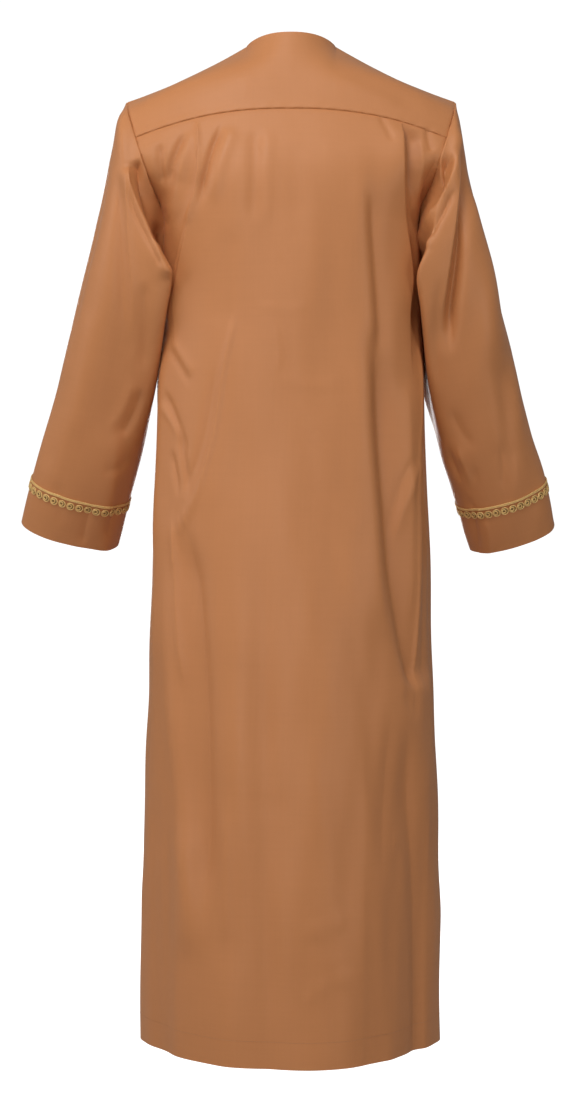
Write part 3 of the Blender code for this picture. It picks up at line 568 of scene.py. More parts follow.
@dataclass
class SleeveForm:
    """A long set-in sleeve, drawn as the left one, from the armhole to the cuff's edge."""

    outer_follows: float = 0.4
    flap_spread: float = 26.0
    flap_way: tuple[float, float, float] = (-0.78, 0.62, 0.0)
    inner_angle: float = 212.0
    inner_spread: float = 24.0
    inner_from: tuple[float, float] = (0.0, 0.2)
    inner_to: tuple[float, float] = (0.82, 0.62)
    seam_reach: float = 17.0
    seam_spacing: float = 0.32
    curve_steps: int = 721
    path_steps: int = 121
    swings: tuple[tuple[Side, Swing], ...] = (
        (Side.LEFT, Swing(0.0, 0.0, 1.06, 0.0, 0.6)),
        (Side.RIGHT, Swing(0.9, -0.6, 0.86, 0.7, 2.4)),
    )
    sections: tuple[SleeveSection, ...] = (
        SleeveSection(24.0, 0.9, -10.3, 19.1, 0.0, -30.9, 8.2, 7.2, 0.00, 2.30, 1.2, 120, 0.25),
        SleeveSection(24.8, 0.7, -14.6, 19.6, 0.0, -32.0, 8.6, 7.4, 0.00, 2.30, 3.2, 130, 0.50),
        SleeveSection(26.2, 0.4, -20.5, 19.8, 0.0, -34.0, 8.6, 7.4, 0.00, 2.25, 5.0, 138, 0.75),
        SleeveSection(28.4, -0.4, -29.6, 19.8, -0.3, -37.4, 8.0, 7.0, 0.05, 2.20, 4.2, 142, 1.0),
        SleeveSection(30.6, -1.7, -38.2, 19.8, -1.4, -42.5, 7.0, 6.3, 0.10, 2.15, 3.1, 146, 1.0),
        SleeveSection(33.0, -3.2, -46.8, 20.1, -3.0, -49.0, 6.1, 5.8, 0.16, 2.10, 1.7, 150, 1.0),
        SleeveSection(35.6, -5.2, -55.0, 21.2, -5.3, -56.6, 5.2, 5.2, 0.25, 2.10, 0.4, 150, 1.0),
        SleeveSection(37.8, -7.8, -62.1, 23.4, -8.3, -64.1, 4.6, 4.6, 0.35, 2.10, 0.0, 150, 1.0),
        SleeveSection(39.1, -10.0, -66.5, 25.1, -10.9, -69.8, 4.3, 4.3, 0.38, 2.10, 0.0, 150, 1.0),
    )

    def curve(self, section: SleeveSection, swing: Swing, share: float) -> Points:
        """Closed curve of one section, from its outer edge round by the back.

        Args:
            section: The section.
            swing: What sets this sleeve off from the table.
            share: How far down the sleeve it is, 0 to 1.

        Returns:
            The points.
        """
        near_cuff = share**3
        outer = np.array([section.out_x - swing.narrower, section.out_y,
                          section.out_z + self.outer_follows * swing.cuff_down * near_cuff])
        inner = np.array([section.in_x + swing.cuff_out * near_cuff, section.in_y,
                          section.in_z + swing.cuff_down * near_cuff])
        centre, half = (outer + inner) / 2, (outer - inner) / 2
        angle = np.linspace(0, 2 * math.pi, self.curve_steps)
        power = 2 / section.roundness
        cosine, sine = signed_power(np.cos(angle), power), signed_power(np.sin(angle), power)
        depth = np.where(sine > 0, section.back, section.front)
        points = centre + cosine[:, None] * half
        points[:, 1] += depth * sine
        points[:, 2] -= section.droop * depth * sine
        away = (np.degrees(angle) - section.flap_angle) / self.flap_spread
        points += swing.slack * section.flap * np.exp(-(away**2))[:, None] * np.array(self.flap_way)
        inside = (np.degrees(angle) - self.inner_angle) / self.inner_spread
        slack = smooth_step(*self.inner_from, share) * smooth_step(*self.inner_to, share)
        points[:, 0] -= swing.inner_front * slack * np.exp(-(inside**2))
        return points

    def rows(self, armhole: Points, side: Side, spacing: float,
             cuff_lines: tuple[float, ...]) -> tuple[Points, Points]:
        """Grid of a left sleeve from the armhole to the cuff.

        Args:
            armhole: The closed first row.
            side: Which swing it has.
            spacing: Distance between rows.
            cuff_lines: Heights above the cuff's edge that get a row and finer ones beside it.

        Returns:
            The grid, and how far above the cuff's edge each row lies.
        """
        swing = dict(self.swings)[side]
        first = arc_lengths(armhole) / arc_lengths(armhole)[-1]
        even = np.arange(len(armhole)) / (len(armhole) - 1)
        loft = [armhole]
        for number, section in enumerate(self.sections, start=1):
            curve = self.curve(section, swing, number / len(self.sections))
            share = first + (even - first) * section.evenness
            loft.append(read_arcs(curve, share * arc_lengths(curve)[-1]))
        knots = np.arange(len(loft), dtype=float)
        steps = np.linspace(0, knots[-1], self.path_steps)
        down = arc_lengths(spline(steps, knots, loft).mean(axis=1))
        lines = tuple(float(down[-1]) - line for line in cuff_lines)
        places = np.concatenate([graded(0.0, self.seam_reach, self.seam_spacing, (0.0,)),
                                 graded(self.seam_reach, float(down[-1]), spacing, lines)[1:]])
        return spline(np.interp(places, down, steps), knots, loft), down[-1] - places


# Folds, as they are seen from each side


@dataclass(frozen=True)
class Fold:
    """A fold along a drawn line; height is out of the cloth, lean makes its one side steeper."""

    FACING: ClassVar = (0.05, 0.42)
    REACH: ClassVar = 3.2
    ROUND_TIP: ClassVar = 0.02
    STEPS: ClassVar = 8

    path: tuple[tuple[float, float], ...]
    width: float
    height: float
    crest: Crest = SOFT
    lean: float = 0.0
    start: float = 0.22
    end: float = 0.22

    def lift(self, face: Face, points: Points, normals: Points) -> Points:
        """How far the fold moves each point.

        Args:
            face: The face it is drawn on.
            points: Points of the cloth.
            normals: Its normals there.

        Returns:
            Distance out along the normal, 0 away from the fold.
        """
        axis, sign, drawn = face.value
        facing = smooth_step(*self.FACING, normals[:, axis] * sign)
        reach = self.REACH * self.width * (1 + abs(self.lean))
        flat = points[:, drawn]
        path = np.array(self.path, float)
        low, high = path.min(0) - reach, path.max(0) + reach
        chosen = np.nonzero((facing > 0) & (flat > low).all(1) & (flat < high).all(1))[0]
        lifted = np.zeros(len(points))
        if not len(chosen):
            return lifted
        knots = np.arange(len(path), dtype=float)
        steps = np.linspace(0, knots[-1], self.STEPS * len(path) + 1)
        straight = path[0] + (path[1] - path[0]) * steps[:, None]
        curve = spline(steps, knots, path) if len(path) > 2 else straight
        spot = flat[chosen]
        best, place, hand = np.full(len(spot), np.inf), np.zeros(len(spot)), np.zeros(len(spot))
        for here in range(len(curve) - 1):
            start, along = curve[here], curve[here + 1] - curve[here]
            off = spot - start
            share = np.clip((off @ along) / (along @ along), 0, 1)
            distance = np.linalg.norm(off - share[:, None] * along, axis=1)
            nearer = distance < best
            best[nearer] = distance[nearer]
            place[nearer] = (here + share[nearer]) / (len(curve) - 1)
            hand[nearer] = np.sign(along[0] * off[nearer, 1] - along[1] * off[nearer, 0])
        width = self.width * (1 + self.lean * hand)
        ends = smooth_step(0, self.start, place) if self.start else 1.0
        ends = ends * (smooth_step(1, 1 - self.end, place) if self.end else 1.0)
        across = (best / width) ** 2 + self.ROUND_TIP
        shape = np.exp(-(across ** (self.crest.value / 2)))
        lifted[chosen] = self.height * shape * ends * facing[chosen]
        return lifted


@dataclass
class FoldBook:
    """All folds by region and face: the back's from what shows, the rest alike in kind."""

    body_back: tuple[Fold, ...] = (
        # the yoke
        Fold(((-4.4, -2.4), (-10.5, -5.9), (-18.5, -9.8)), 1.7, -0.26),
        Fold(((-6, -5.4), (-12.5, -8.6), (-17.5, -11)), 1.3, 0.1),
        Fold(((13, -5.8), (8, -4.6), (3, -4.4)), 1.8, -0.08),
        # beside the left pleat, below the yoke
        Fold(((14.5, -13), (15.5, -15.3), (16.4, -17.7), (16.8, -20.6)), 0.5, -0.6, FIRM, -0.35),
        Fold(((9.2, -11.8), (10.2, -14.2), (10.8, -15.8), (11.5, -18.5), (12, -20.5), (12.4, -24)), 0.5, -0.6,
              FIRM, -0.35),
        Fold(((13.4, -12.6), (14.3, -15.8), (15.1, -19.5), (15.4, -23)), 0.8, 0.3),
        Fold(((7.7, -12.4), (8.7, -15.2), (9.7, -18.6), (10.5, -23.5)), 1, 0.3),
        Fold(((17.9, -14.4), (17.8, -17.5), (17.4, -20.6)), 0.5, -0.55, FIRM),
        Fold(((12.8, -11.4), (12.6, -15.5), (12.6, -18.8), (13.2, -22.8), (13.9, -25.6)), 0.42, 0.24, FIRM,
              -0.3, 0.1, 0.1),
        Fold(((12.9, -20.5), (13.7, -24.6), (14.5, -27.8), (15.6, -32.5), (16.6, -37.5), (17, -42)), 0.7, 0.4,
              SHARP, -0.4),
        Fold(((15.4, -19.5), (16, -24), (16.5, -29), (17, -34), (17.3, -40)), 2, 0.9, SOFT, -0.35),
        Fold(((17.6, -22.2), (16.8, -22.9), (16.2, -23.2)), 0.3, 0.12, FIRM),
        Fold(((17.5, -25.2), (16.8, -25.9), (15.9, -26)), 0.28, 0.13, FIRM),
        Fold(((17.3, -24.4), (16.6, -24.9), (15.8, -25)), 0.25, -0.09, FIRM),
        # the middle of the back
        Fold(((4.9, -12.5), (5, -18), (5.3, -26.5)), 0.9, -0.26),
        Fold(((3.1, -12.5), (3.2, -19), (3.4, -27)), 0.9, 0.14),
        Fold(((-0.6, -14), (-0.8, -26)), 1.6, -0.1),
        Fold(((7.6, -26), (9.4, -33), (9.6, -40.5)), 1.5, -0.18),
        Fold(((5.2, -36.7), (1, -37.4), (-3, -37)), 0.35, 0.1, FIRM),
        Fold(((2.4, -39), (1.6, -43), (2.2, -46.5)), 0.5, 0.08, FIRM),
        Fold(((3, -46), (-3, -47.6), (-7.4, -46.6)), 0.9, 0.08),
        # beside the right pleat
        Fold(((-12, -10.8), (-12.9, -12.6), (-13.9, -15)), 0.4, -0.24, FIRM),
        Fold(((-9.2, -18.5), (-9.7, -26), (-10.3, -35), (-10.9, -44)), 1.7, 0.36, FIRM, 0.4),
        Fold(((-10.7, -20.5), (-11.3, -29), (-11.9, -38), (-12.3, -44)), 0.9, -0.5, FIRM, -0.3),
        Fold(((-16.2, -13.2), (-16.4, -18), (-16.9, -23), (-17.2, -27)), 0.55, -0.35, FIRM),
        Fold(((-17.7, -12.8), (-18, -18), (-17.7, -22.6)), 0.6, 0.4, FIRM),
        Fold(((-18.4, -12.3), (-18.9, -14.2), (-19.4, -15.8)), 0.4, -0.35, FIRM),
        Fold(((-16.9, -19), (-17, -25), (-17.1, -31), (-17.3, -38)), 1.3, 0.9),
        Fold(((-20.5, -13.9), (-19.6, -18.2), (-18.9, -21.4), (-18.2, -24.6), (-17.5, -28.5)), 0.85, -0.9,
              FIRM, 0, 0.35),
        # down the right of the back
        Fold(((-9, -36), (-10.2, -48), (-10.8, -60), (-11.5, -69.5), (-12.2, -76.3), (-13.5, -84)), 2.2, 0.6,
              FIRM, 0.45),
        Fold(((-11.2, -38), (-12.1, -49), (-12.8, -60.5), (-13.6, -69.5), (-14.5, -76.3), (-16, -84),
              (-17.4, -89.4)), 1.8, -1.5, FIRM, -0.42, 0.2, 0.08),
        Fold(((-15.8, -46), (-16.2, -54), (-16.6, -68), (-17, -82)), 1.1, 0.5, FIRM),
        Fold(((-17.7, -57.6), (-16.5, -61), (-15.4, -64.6), (-14.9, -68.6)), 0.6, 0.3, FIRM),
        Fold(((-16.6, -57), (-15.5, -60.5), (-14.6, -64.5), (-14.2, -68)), 0.5, -0.25, FIRM),
        Fold(((-17.6, -34), (-17.9, -46), (-17.6, -62), (-17.7, -77.5), (-17.6, -89.5)), 0.3, 0.26, FIRM,
              -0.2, 0.1, 0.1),
        Fold(((-18.5, -44), (-18.5, -62), (-18.6, -78), (-18.8, -92)), 0.55, -0.6, FIRM),
        Fold(((-15.6, -88.6), (-16.6, -91.4), (-17.9, -91)), 0.7, -0.35, FIRM),
        Fold(((-9.6, -88), (-9.8, -104), (-9.6, -120), (-9.4, -141)), 2.4, 0.3, FIRM, 0.5, 0.25, 0),
        Fold(((-13.9, -90), (-13, -103), (-12.4, -116)), 1.6, -0.35, FIRM, -0.3, 0.3, 0.4),
        Fold(((-15.8, -92), (-16.8, -106), (-17.6, -120), (-17.8, -141)), 2.5, -1.1, FIRM, 0.5, 0.3, 0),
        Fold(((-19.4, -104), (-19.2, -122), (-19, -141)), 0.5, 0.3, FIRM, 0, 0.2, 0),
        Fold(((-14.2, -110), (-15.2, -109.7), (-16.2, -109.2)), 0.3, 0.18, FIRM),
        # down the left of the back
        Fold(((15.2, -65.5), (13.2, -74), (12.2, -83), (11.8, -90), (11.6, -98), (11.4, -108), (11.6, -114),
              (12, -122)), 2.1, -0.95, FIRM, 0.45, 0.14, 0.2),
        Fold(((16.4, -64.6), (15.9, -74), (15.3, -83), (14.3, -90)), 0.6, 0.5, SHARP, 0, 0.15, 0.3),
        Fold(((17.7, -60), (17.3, -72), (16.8, -84), (15.8, -98), (14.2, -114), (13.4, -126)), 1.4, 0.6),
        Fold(((9, -104), (8.8, -114), (9, -124)), 0.8, 0.24),
        Fold(((7.6, -37), (8, -40.2), (9.2, -46), (10.3, -53.3), (11.9, -59.5), (13.4, -63.6), (16.2, -68)),
              0.36, 0.46, SHARP, 0, 0.25, 0.08),
        Fold(((6.6, -38), (7.6, -45), (8.8, -53), (10.4, -60), (12.2, -66)), 1.8, 0.2),
        Fold(((10.2, -44), (11.6, -52.5), (13, -58), (15, -62.6)), 0.6, -0.3, FIRM, -0.25),
        Fold(((16.9, -42), (15.2, -44.8), (13.6, -47.4)), 0.34, -0.28, FIRM),
        Fold(((16.4, -41), (14.8, -43.6), (13.2, -46.2)), 0.5, 0.24, FIRM),
        Fold(((17.4, -48), (15.8, -52), (14, -57)), 0.36, -0.4, FIRM),
        Fold(((17.9, -49.6), (16.6, -52), (15.2, -54.4)), 0.3, 0.2, FIRM),
        Fold(((15.4, -54.2), (14.6, -57.8), (13.9, -62)), 0.4, -0.4, FIRM),
        Fold(((16.4, -56.4), (15.8, -59.4), (15.2, -62.4)), 0.34, -0.32, FIRM),
        Fold(((15.4, -75.3), (14, -74.9), (12.6, -75.2)), 0.28, 0.2, FIRM),
        Fold(((17, -70.4), (16.3, -70.9), (15.9, -71.8)), 0.3, 0.16, FIRM),
        Fold(((17.6, -104), (17.2, -118), (17.6, -141)), 1.2, -0.4, SOFT, 0, 0.3, 0),
        Fold(((14.8, -106), (14.6, -117), (14, -127)), 2.2, 0.5, SOFT, 0, 0.3, 0.3),
        Fold(((8.4, -122), (8.8, -141)), 2.2, 0.3, SOFT, 0, 0.35, 0),
        # broad rolls and small wrinkles of the skirt
        Fold(((-2, -60), (-3.4, -98), (-4.4, -141)), 4, 0.5, SOFT, 0, 0.3, 0),
        Fold(((3.9, -66), (3.9, -84), (3.6, -108), (3, -141)), 1.9, -0.4, SOFT, 0, 0.3, 0),
        Fold(((7, -74), (7.2, -96), (6.6, -118)), 2, 0.25),
        Fold(((-1, -121.4), (-4.5, -120.5), (-8.6, -118.9)), 0.4, 0.2, FIRM),
        Fold(((-1.4, -123.4), (-4.8, -122.4), (-7, -122.6)), 0.35, -0.12, FIRM),
        Fold(((-1, -130.8), (-3.2, -129.2), (-5.7, -127.7), (-10.2, -127.4)), 0.4, 0.2, FIRM),
        Fold(((-2.4, -126.2), (-4.8, -125.4), (-7.4, -125.2)), 0.35, 0.1, FIRM),
        Fold(((6, -103), (3, -104.2), (-0.5, -103.4)), 0.8, -0.1),
        Fold(((-5.6, -63), (-8, -66), (-9.8, -67)), 1, 0.12),
    )
    body_front: tuple[Fold, ...] = (
        Fold(((10.6, -20), (12, -40), (13.1, -64), (13.8, -94)), 2, -0.85, FIRM, 0.2),
        Fold(((-10.4, -22), (-11.8, -44), (-13.2, -70), (-14.4, -99)), 2.1, -0.85, FIRM, -0.2),
        Fold(((8.2, -28), (9.4, -52), (10.6, -80)), 1.6, 0.3),
        Fold(((-8, -30), (-9.2, -56), (-10.6, -84)), 1.7, 0.28),
        Fold(((15.2, -34), (16.4, -58), (17, -86)), 1.3, 0.36, FIRM),
        Fold(((-15.4, -36), (-16.6, -62), (-17.2, -92)), 1.3, 0.34, FIRM),
        Fold(((17.4, -17), (16, -22), (15.4, -30)), 1, -0.45, FIRM),
        Fold(((-17.6, -17), (-16.4, -23), (-15.6, -31)), 1, -0.45, FIRM),
        Fold(((14, -14), (12.8, -20), (12.4, -27)), 0.9, 0.24),
        Fold(((-14.2, -14), (-13, -20.5), (-12.4, -28)), 0.9, 0.22),
        Fold(((7, -66), (7.8, -100), (9.2, -141)), 2.8, 0.7, SOFT, 0, 0.3, 0),
        Fold(((-7.4, -72), (-8.6, -104), (-9.8, -141)), 2.8, 0.7, SOFT, 0, 0.3, 0),
        Fold(((1, -64), (-0.4, -96), (0.6, -141)), 3, -0.4, SOFT, 0, 0.3, 0),
        Fold(((13.4, -104), (13.8, -122), (14.8, -141)), 2, -0.55, SOFT, 0, 0.3, 0),
        Fold(((-13.2, -108), (-13.9, -124), (-15.2, -141)), 2, -0.5, SOFT, 0, 0.3, 0),
        Fold(((4.2, -44.6), (0.5, -46), (-4, -45.2)), 0.9, 0.1, FIRM),
        Fold(((-4.8, -54), (-7.6, -56.2), (-11, -56.4)), 0.9, 0.12),
        Fold(((5.4, -84), (8.6, -86), (12, -85.6)), 0.9, 0.11),
    )
    body_left: tuple[Fold, ...] = (
        Fold(((4.6, -38), (3.8, -60), (4.6, -92)), 1.7, 0.45),
        Fold(((0.4, -44), (-0.6, -72), (0.6, -112)), 1.8, -0.5, FIRM),
        Fold(((-4.6, -48), (-5, -80), (-6.4, -120)), 1.8, 0.42),
        Fold(((-8.4, -70), (-9, -100), (-9.6, -141)), 1.8, -0.42, SOFT, 0, 0.3, 0),
        Fold(((5.2, -100), (5.4, -120), (6, -141)), 1.9, -0.4, SOFT, 0, 0.3, 0),
        Fold(((0.8, -112), (0, -126), (-0.4, -141)), 1.7, 0.38, SOFT, 0, 0.3, 0),
    )
    body_right: tuple[Fold, ...] = (
        Fold(((4.2, -40), (4.8, -66), (5.6, -98)), 1.7, 0.42),
        Fold(((-0.2, -42), (0.8, -70), (0, -110)), 1.8, -0.5, FIRM),
        Fold(((-4.8, -50), (-5.4, -84), (-6, -122)), 1.8, 0.4),
        Fold(((-8.6, -66), (-9.4, -100), (-9.8, -141)), 1.8, -0.4, SOFT, 0, 0.3, 0),
        Fold(((5, -102), (5.6, -122), (6.4, -141)), 1.9, -0.42, SOFT, 0, 0.3, 0),
        Fold(((0, -114), (0.6, -128), (0.2, -141)), 1.7, 0.36, SOFT, 0, 0.3, 0),
    )
    sleeve_left_back: tuple[Fold, ...] = (
        Fold(((21.3, -16.8), (20.9, -18.4), (20.4, -20.2), (19.5, -22.4), (18.7, -25.2), (17.6, -28.6)), 0.8,
              -1.2, FIRM, -0.2, 0.14, 0.1),
        Fold(((22.1, -17.4), (21.9, -20.2), (20.8, -23.4), (19.4, -26.6), (17.8, -30), (16.2, -33.2)), 0.6,
              0.95, SHARP, 0.45, 0.12, 0.1),
        Fold(((22.3, -20.6), (21.3, -23.8), (20.1, -26.4), (18.7, -29.2), (17.3, -31.6)), 0.35, -0.35, FIRM,
              0, 0.2, 0.1),
        Fold(((22.5, -17.4), (22.3, -24), (22, -30), (21.7, -35), (21.7, -42)), 0.8, 0.5, SHARP, -0.4, 0.1,
              0.3),
        Fold(((23.7, -17), (23.5, -25), (23.2, -32), (23, -41)), 1, -0.42, FIRM, -0.2),
        Fold(((21.6, -18), (21.3, -18.6), (20.7, -18.7)), 0.22, 0.16, FIRM),
        Fold(((21.6, -19.4), (21.2, -20), (20.6, -20)), 0.22, 0.16, FIRM),
        Fold(((20.2, -33), (20, -39), (20.6, -46)), 0.8, -0.3),
        Fold(((20.6, -47.6), (22, -51.4), (24, -54.6)), 0.8, -0.4, FIRM, 0.3),
        Fold(((21.6, -46.4), (23.4, -50.6), (25.6, -53.8)), 0.8, 0.2),
        Fold(((22.6, -57), (24.6, -58.6), (26.8, -59)), 0.6, -0.18),
        Fold(((24.2, -52), (25.4, -60), (27, -71.5)), 1.6, 0.4, SOFT, 0.35, 0.3, 0),
        Fold(((28.3, -63.6), (29.2, -66.6), (29.9, -69.6)), 0.7, -0.26, FIRM, 0.3, 0.25, 0.1),
        Fold(((24.6, -63.8), (25.9, -66.2), (26.4, -68.8)), 0.6, -0.28, FIRM, 0, 0.2, 0.1),
        Fold(((33.4, -60.6), (32.8, -64), (33.2, -67.4)), 0.8, -0.16, FIRM),
        Fold(((26.4, -14), (27.2, -22), (29, -32)), 1.6, -0.22),
        Fold(((27.6, -36), (29.2, -46), (30.6, -56)), 1.5, 0.18),
        Fold(((31.8, -44), (33.4, -52), (34.8, -60)), 1.2, -0.18),
    )
    sleeve_left_front: tuple[Fold, ...] = (
        Fold(((22.8, -20), (23.2, -30), (24.2, -40), (26.5, -54)), 1.5, -0.55, FIRM),
        Fold(((25.4, -22), (26.6, -34), (28.8, -46)), 1.4, 0.3),
        Fold(((20.8, -26), (21.4, -34), (21.6, -44)), 1, 0.35, FIRM),
        Fold(((22.6, -46), (24.6, -51), (27.6, -54.6)), 0.9, -0.32, FIRM),
        Fold(((30, -40), (31.6, -50), (33.6, -60)), 1.3, -0.22),
    )
    sleeve_left_left: tuple[Fold, ...] = (
        Fold(((3.4, -16), (3, -28), (0.6, -42)), 1.5, -0.3),
        Fold(((-0.6, -18), (-2.4, -34), (-5.4, -50)), 1.5, 0.26),
        Fold(((-3, -40), (-5, -50), (-8.6, -60)), 1.2, -0.24),
    )
    sleeve_right_back: tuple[Fold, ...] = (
        Fold(((-21.9, -15.6), (-20.8, -18.8), (-19.8, -21.2), (-18.9, -24)), 0.8, -1.4, FIRM),
        Fold(((-22.8, -15), (-21.8, -19), (-20.5, -22), (-19.4, -24.2), (-18.4, -26.2), (-17.5, -28.6)), 0.62,
              1, SHARP, -0.3, 0.14, 0.05),
        Fold(((-22.4, -20.4), (-20.9, -23.6), (-19.7, -25.8), (-18.6, -28)), 0.42, -0.55, FIRM),
        Fold(((-23.1, -11.6), (-23.1, -14.7), (-23, -18.4), (-22.6, -23.7), (-21.9, -29.4), (-21.2, -35),
              (-20.8, -41.5)), 0.55, 0.7, SHARP, 0.3, 0.2, 0.2),
        Fold(((-23.9, -13.2), (-24.1, -19.7), (-23.7, -24.5), (-22.9, -30.5), (-22.1, -37.2), (-21.8, -43.5)),
              0.95, -1.8, FIRM, 0.3, 0.12, 0.2),
        Fold(((-26.4, -17), (-27, -26), (-27.8, -36), (-29.2, -46)), 2, 0.75),
        Fold(((-20.4, -32), (-20, -40), (-20.4, -48)), 0.8, -0.26),
        Fold(((-29.2, -44), (-30.2, -52), (-31.4, -60.5)), 1.1, -0.24),
        Fold(((-27.4, -40), (-28.6, -50), (-29.4, -58)), 1.2, 0.16),
        Fold(((-22.2, -50.4), (-23.8, -53.6), (-25.8, -56)), 0.8, -0.24, FIRM),
        Fold(((-23.2, -57.6), (-25, -59.4), (-26.8, -60)), 0.6, -0.16),
        Fold(((-22.4, -56.2), (-23.2, -58.6), (-24.4, -60.6)), 0.42, -0.34, FIRM, 0.2),
        Fold(((-23.4, -55.6), (-24.4, -58.4), (-25.6, -60.6)), 0.5, 0.26, FIRM),
        Fold(((-24.4, -63.2), (-25.8, -64.2), (-26.6, -66)), 0.4, -0.16, FIRM),
        Fold(((-24.8, -64.6), (-26.2, -66.6), (-27, -70.4)), 0.7, -0.3, FIRM, 0.3, 0.2, 0),
        Fold(((-31.6, -56.6), (-31.9, -60), (-31.4, -63.4)), 0.7, 0.16, FIRM),
        Fold(((-29.6, -55), (-29.8, -59), (-29.9, -61.6)), 0.6, -0.2, FIRM),
        Fold(((-27.6, -66.2), (-28.4, -68.4), (-28.6, -71)), 0.6, 0.14, FIRM, 0, 0.2, 0),
    )
    sleeve_right_front: tuple[Fold, ...] = (
        Fold(((-23, -21), (-23.6, -32), (-24.8, -42), (-27, -54)), 1.5, -0.55, FIRM),
        Fold(((-25.6, -20), (-27, -33), (-29.2, -47)), 1.4, 0.3),
        Fold(((-21, -28), (-21.4, -37), (-21.8, -46)), 1, 0.32, FIRM),
        Fold(((-23.4, -48), (-25.4, -52.6), (-28, -55.6)), 0.9, -0.3, FIRM),
    )
    sleeve_right_right: tuple[Fold, ...] = (
        Fold(((3.2, -15), (2.6, -27), (0.2, -41)), 1.5, -0.3),
        Fold(((-0.8, -19), (-2.6, -35), (-5.8, -51)), 1.5, 0.26),
        Fold(((-3.2, -42), (-5.6, -52), (-8.8, -61)), 1.2, -0.22),
    )

    def of(self, region: str) -> Iterator[tuple[Face, Fold]]:
        """The folds of the body or of one sleeve.

        Args:
            region: The body, or a sleeve's name.

        Yields:
            Each fold with the face it is drawn on.
        """
        for face in Face:
            for fold in getattr(self, f"{region}_{face.name.lower()}", ()):
                yield face, fold


@dataclass
class Pleats:
    """The two knife pleats below the yoke: a raised edge that laps over a recess towards the arm."""

    rise: float = 0.3
    drop: float = 1.1
    step_share: float = 0.75
    turn_reach: float = 1.2
    rise_reach: float = 2.0
    drop_reach: float = 2.6
    lap: float = 0.3
    sharpness: tuple[tuple[Side, float], ...] = ((Side.LEFT, 0.15), (Side.RIGHT, 1.0))
    fade: tuple[float, float] = (-47.0, -33.0)
    facing: tuple[float, float] = (0.05, 0.3)
    recess_facing: tuple[float, float] = (0.15, 0.55)
    from_middle: tuple[float, float] = (5.5, 8.5)
    below_seam: tuple[float, float] = (0.1, 2.0)

    def shift(self, points: Points, normals: Points, body: BodyForm) -> tuple[Points, Points]:
        """How the pleats move the points of the body.

        Args:
            points: Points of the body.
            normals: Its normals there.
            body: The form, which says where the edges stand.

        Returns:
            Distance out along the normal, and distance towards the wearer's left.
        """
        lift, slide = np.zeros(len(points)), np.zeros(len(points))
        facing = smooth_step(*self.facing, normals[:, 1])
        inside = smooth_step(*self.recess_facing, normals[:, 1])
        seam = body.back_strip[1]
        across = np.clip(np.abs(points[:, 0] / seam.x_edge), 0, 1)
        seam_z = seam.z_edge + (seam.z_mid - seam.z_edge) * (1 - across**seam.bow_z)
        for side, sharp in self.sharpness:
            past = (points[:, 0] - body.pleat_x(side, points[:, 2])) * side.value
            rise = self.rise * np.exp(-(np.minimum(past, 0) / self.rise_reach) ** 2)
            dropped = smooth_step(0, body.pleat_step, past)
            turned = self.step_share + (1 - self.step_share) * smooth_step(0, self.turn_reach, past)
            beyond = np.maximum(past - self.turn_reach, 0) / self.drop_reach
            recess = -self.drop * turned * np.exp(-(beyond**2))
            near = smooth_step(*self.from_middle, points[:, 0] * side.value)
            near = near * smooth_step(*self.fade, points[:, 2])
            near = near * smooth_step(*self.below_seam, seam_z - points[:, 2]) * facing
            lift += (rise * (1 - dropped) + recess * dropped * inside) * sharp * near
            share = np.clip(past / body.pleat_step, 0, 1)
            slide += self.lap * sharp * near * np.sin(share * math.tau) * side.value
        return lift, slide


class Edge(Enum):
    """An edge of a grid: the axis that leads away from it, and whether it is that axis's last end."""

    FIRST_ROW = (0, False)
    LAST_ROW = (0, True)
    FIRST_COLUMN = (1, False)
    LAST_COLUMN = (1, True)


@dataclass(frozen=True)
class Seam:
    """One side of a seam: how sharply the cloth dips at it and how far it stands proud beside it."""

    grid: str
    edge: Edge
    narrow: float
    beside: float = 0.0
    reach: float = 0.9
    pucker: float = 0.0


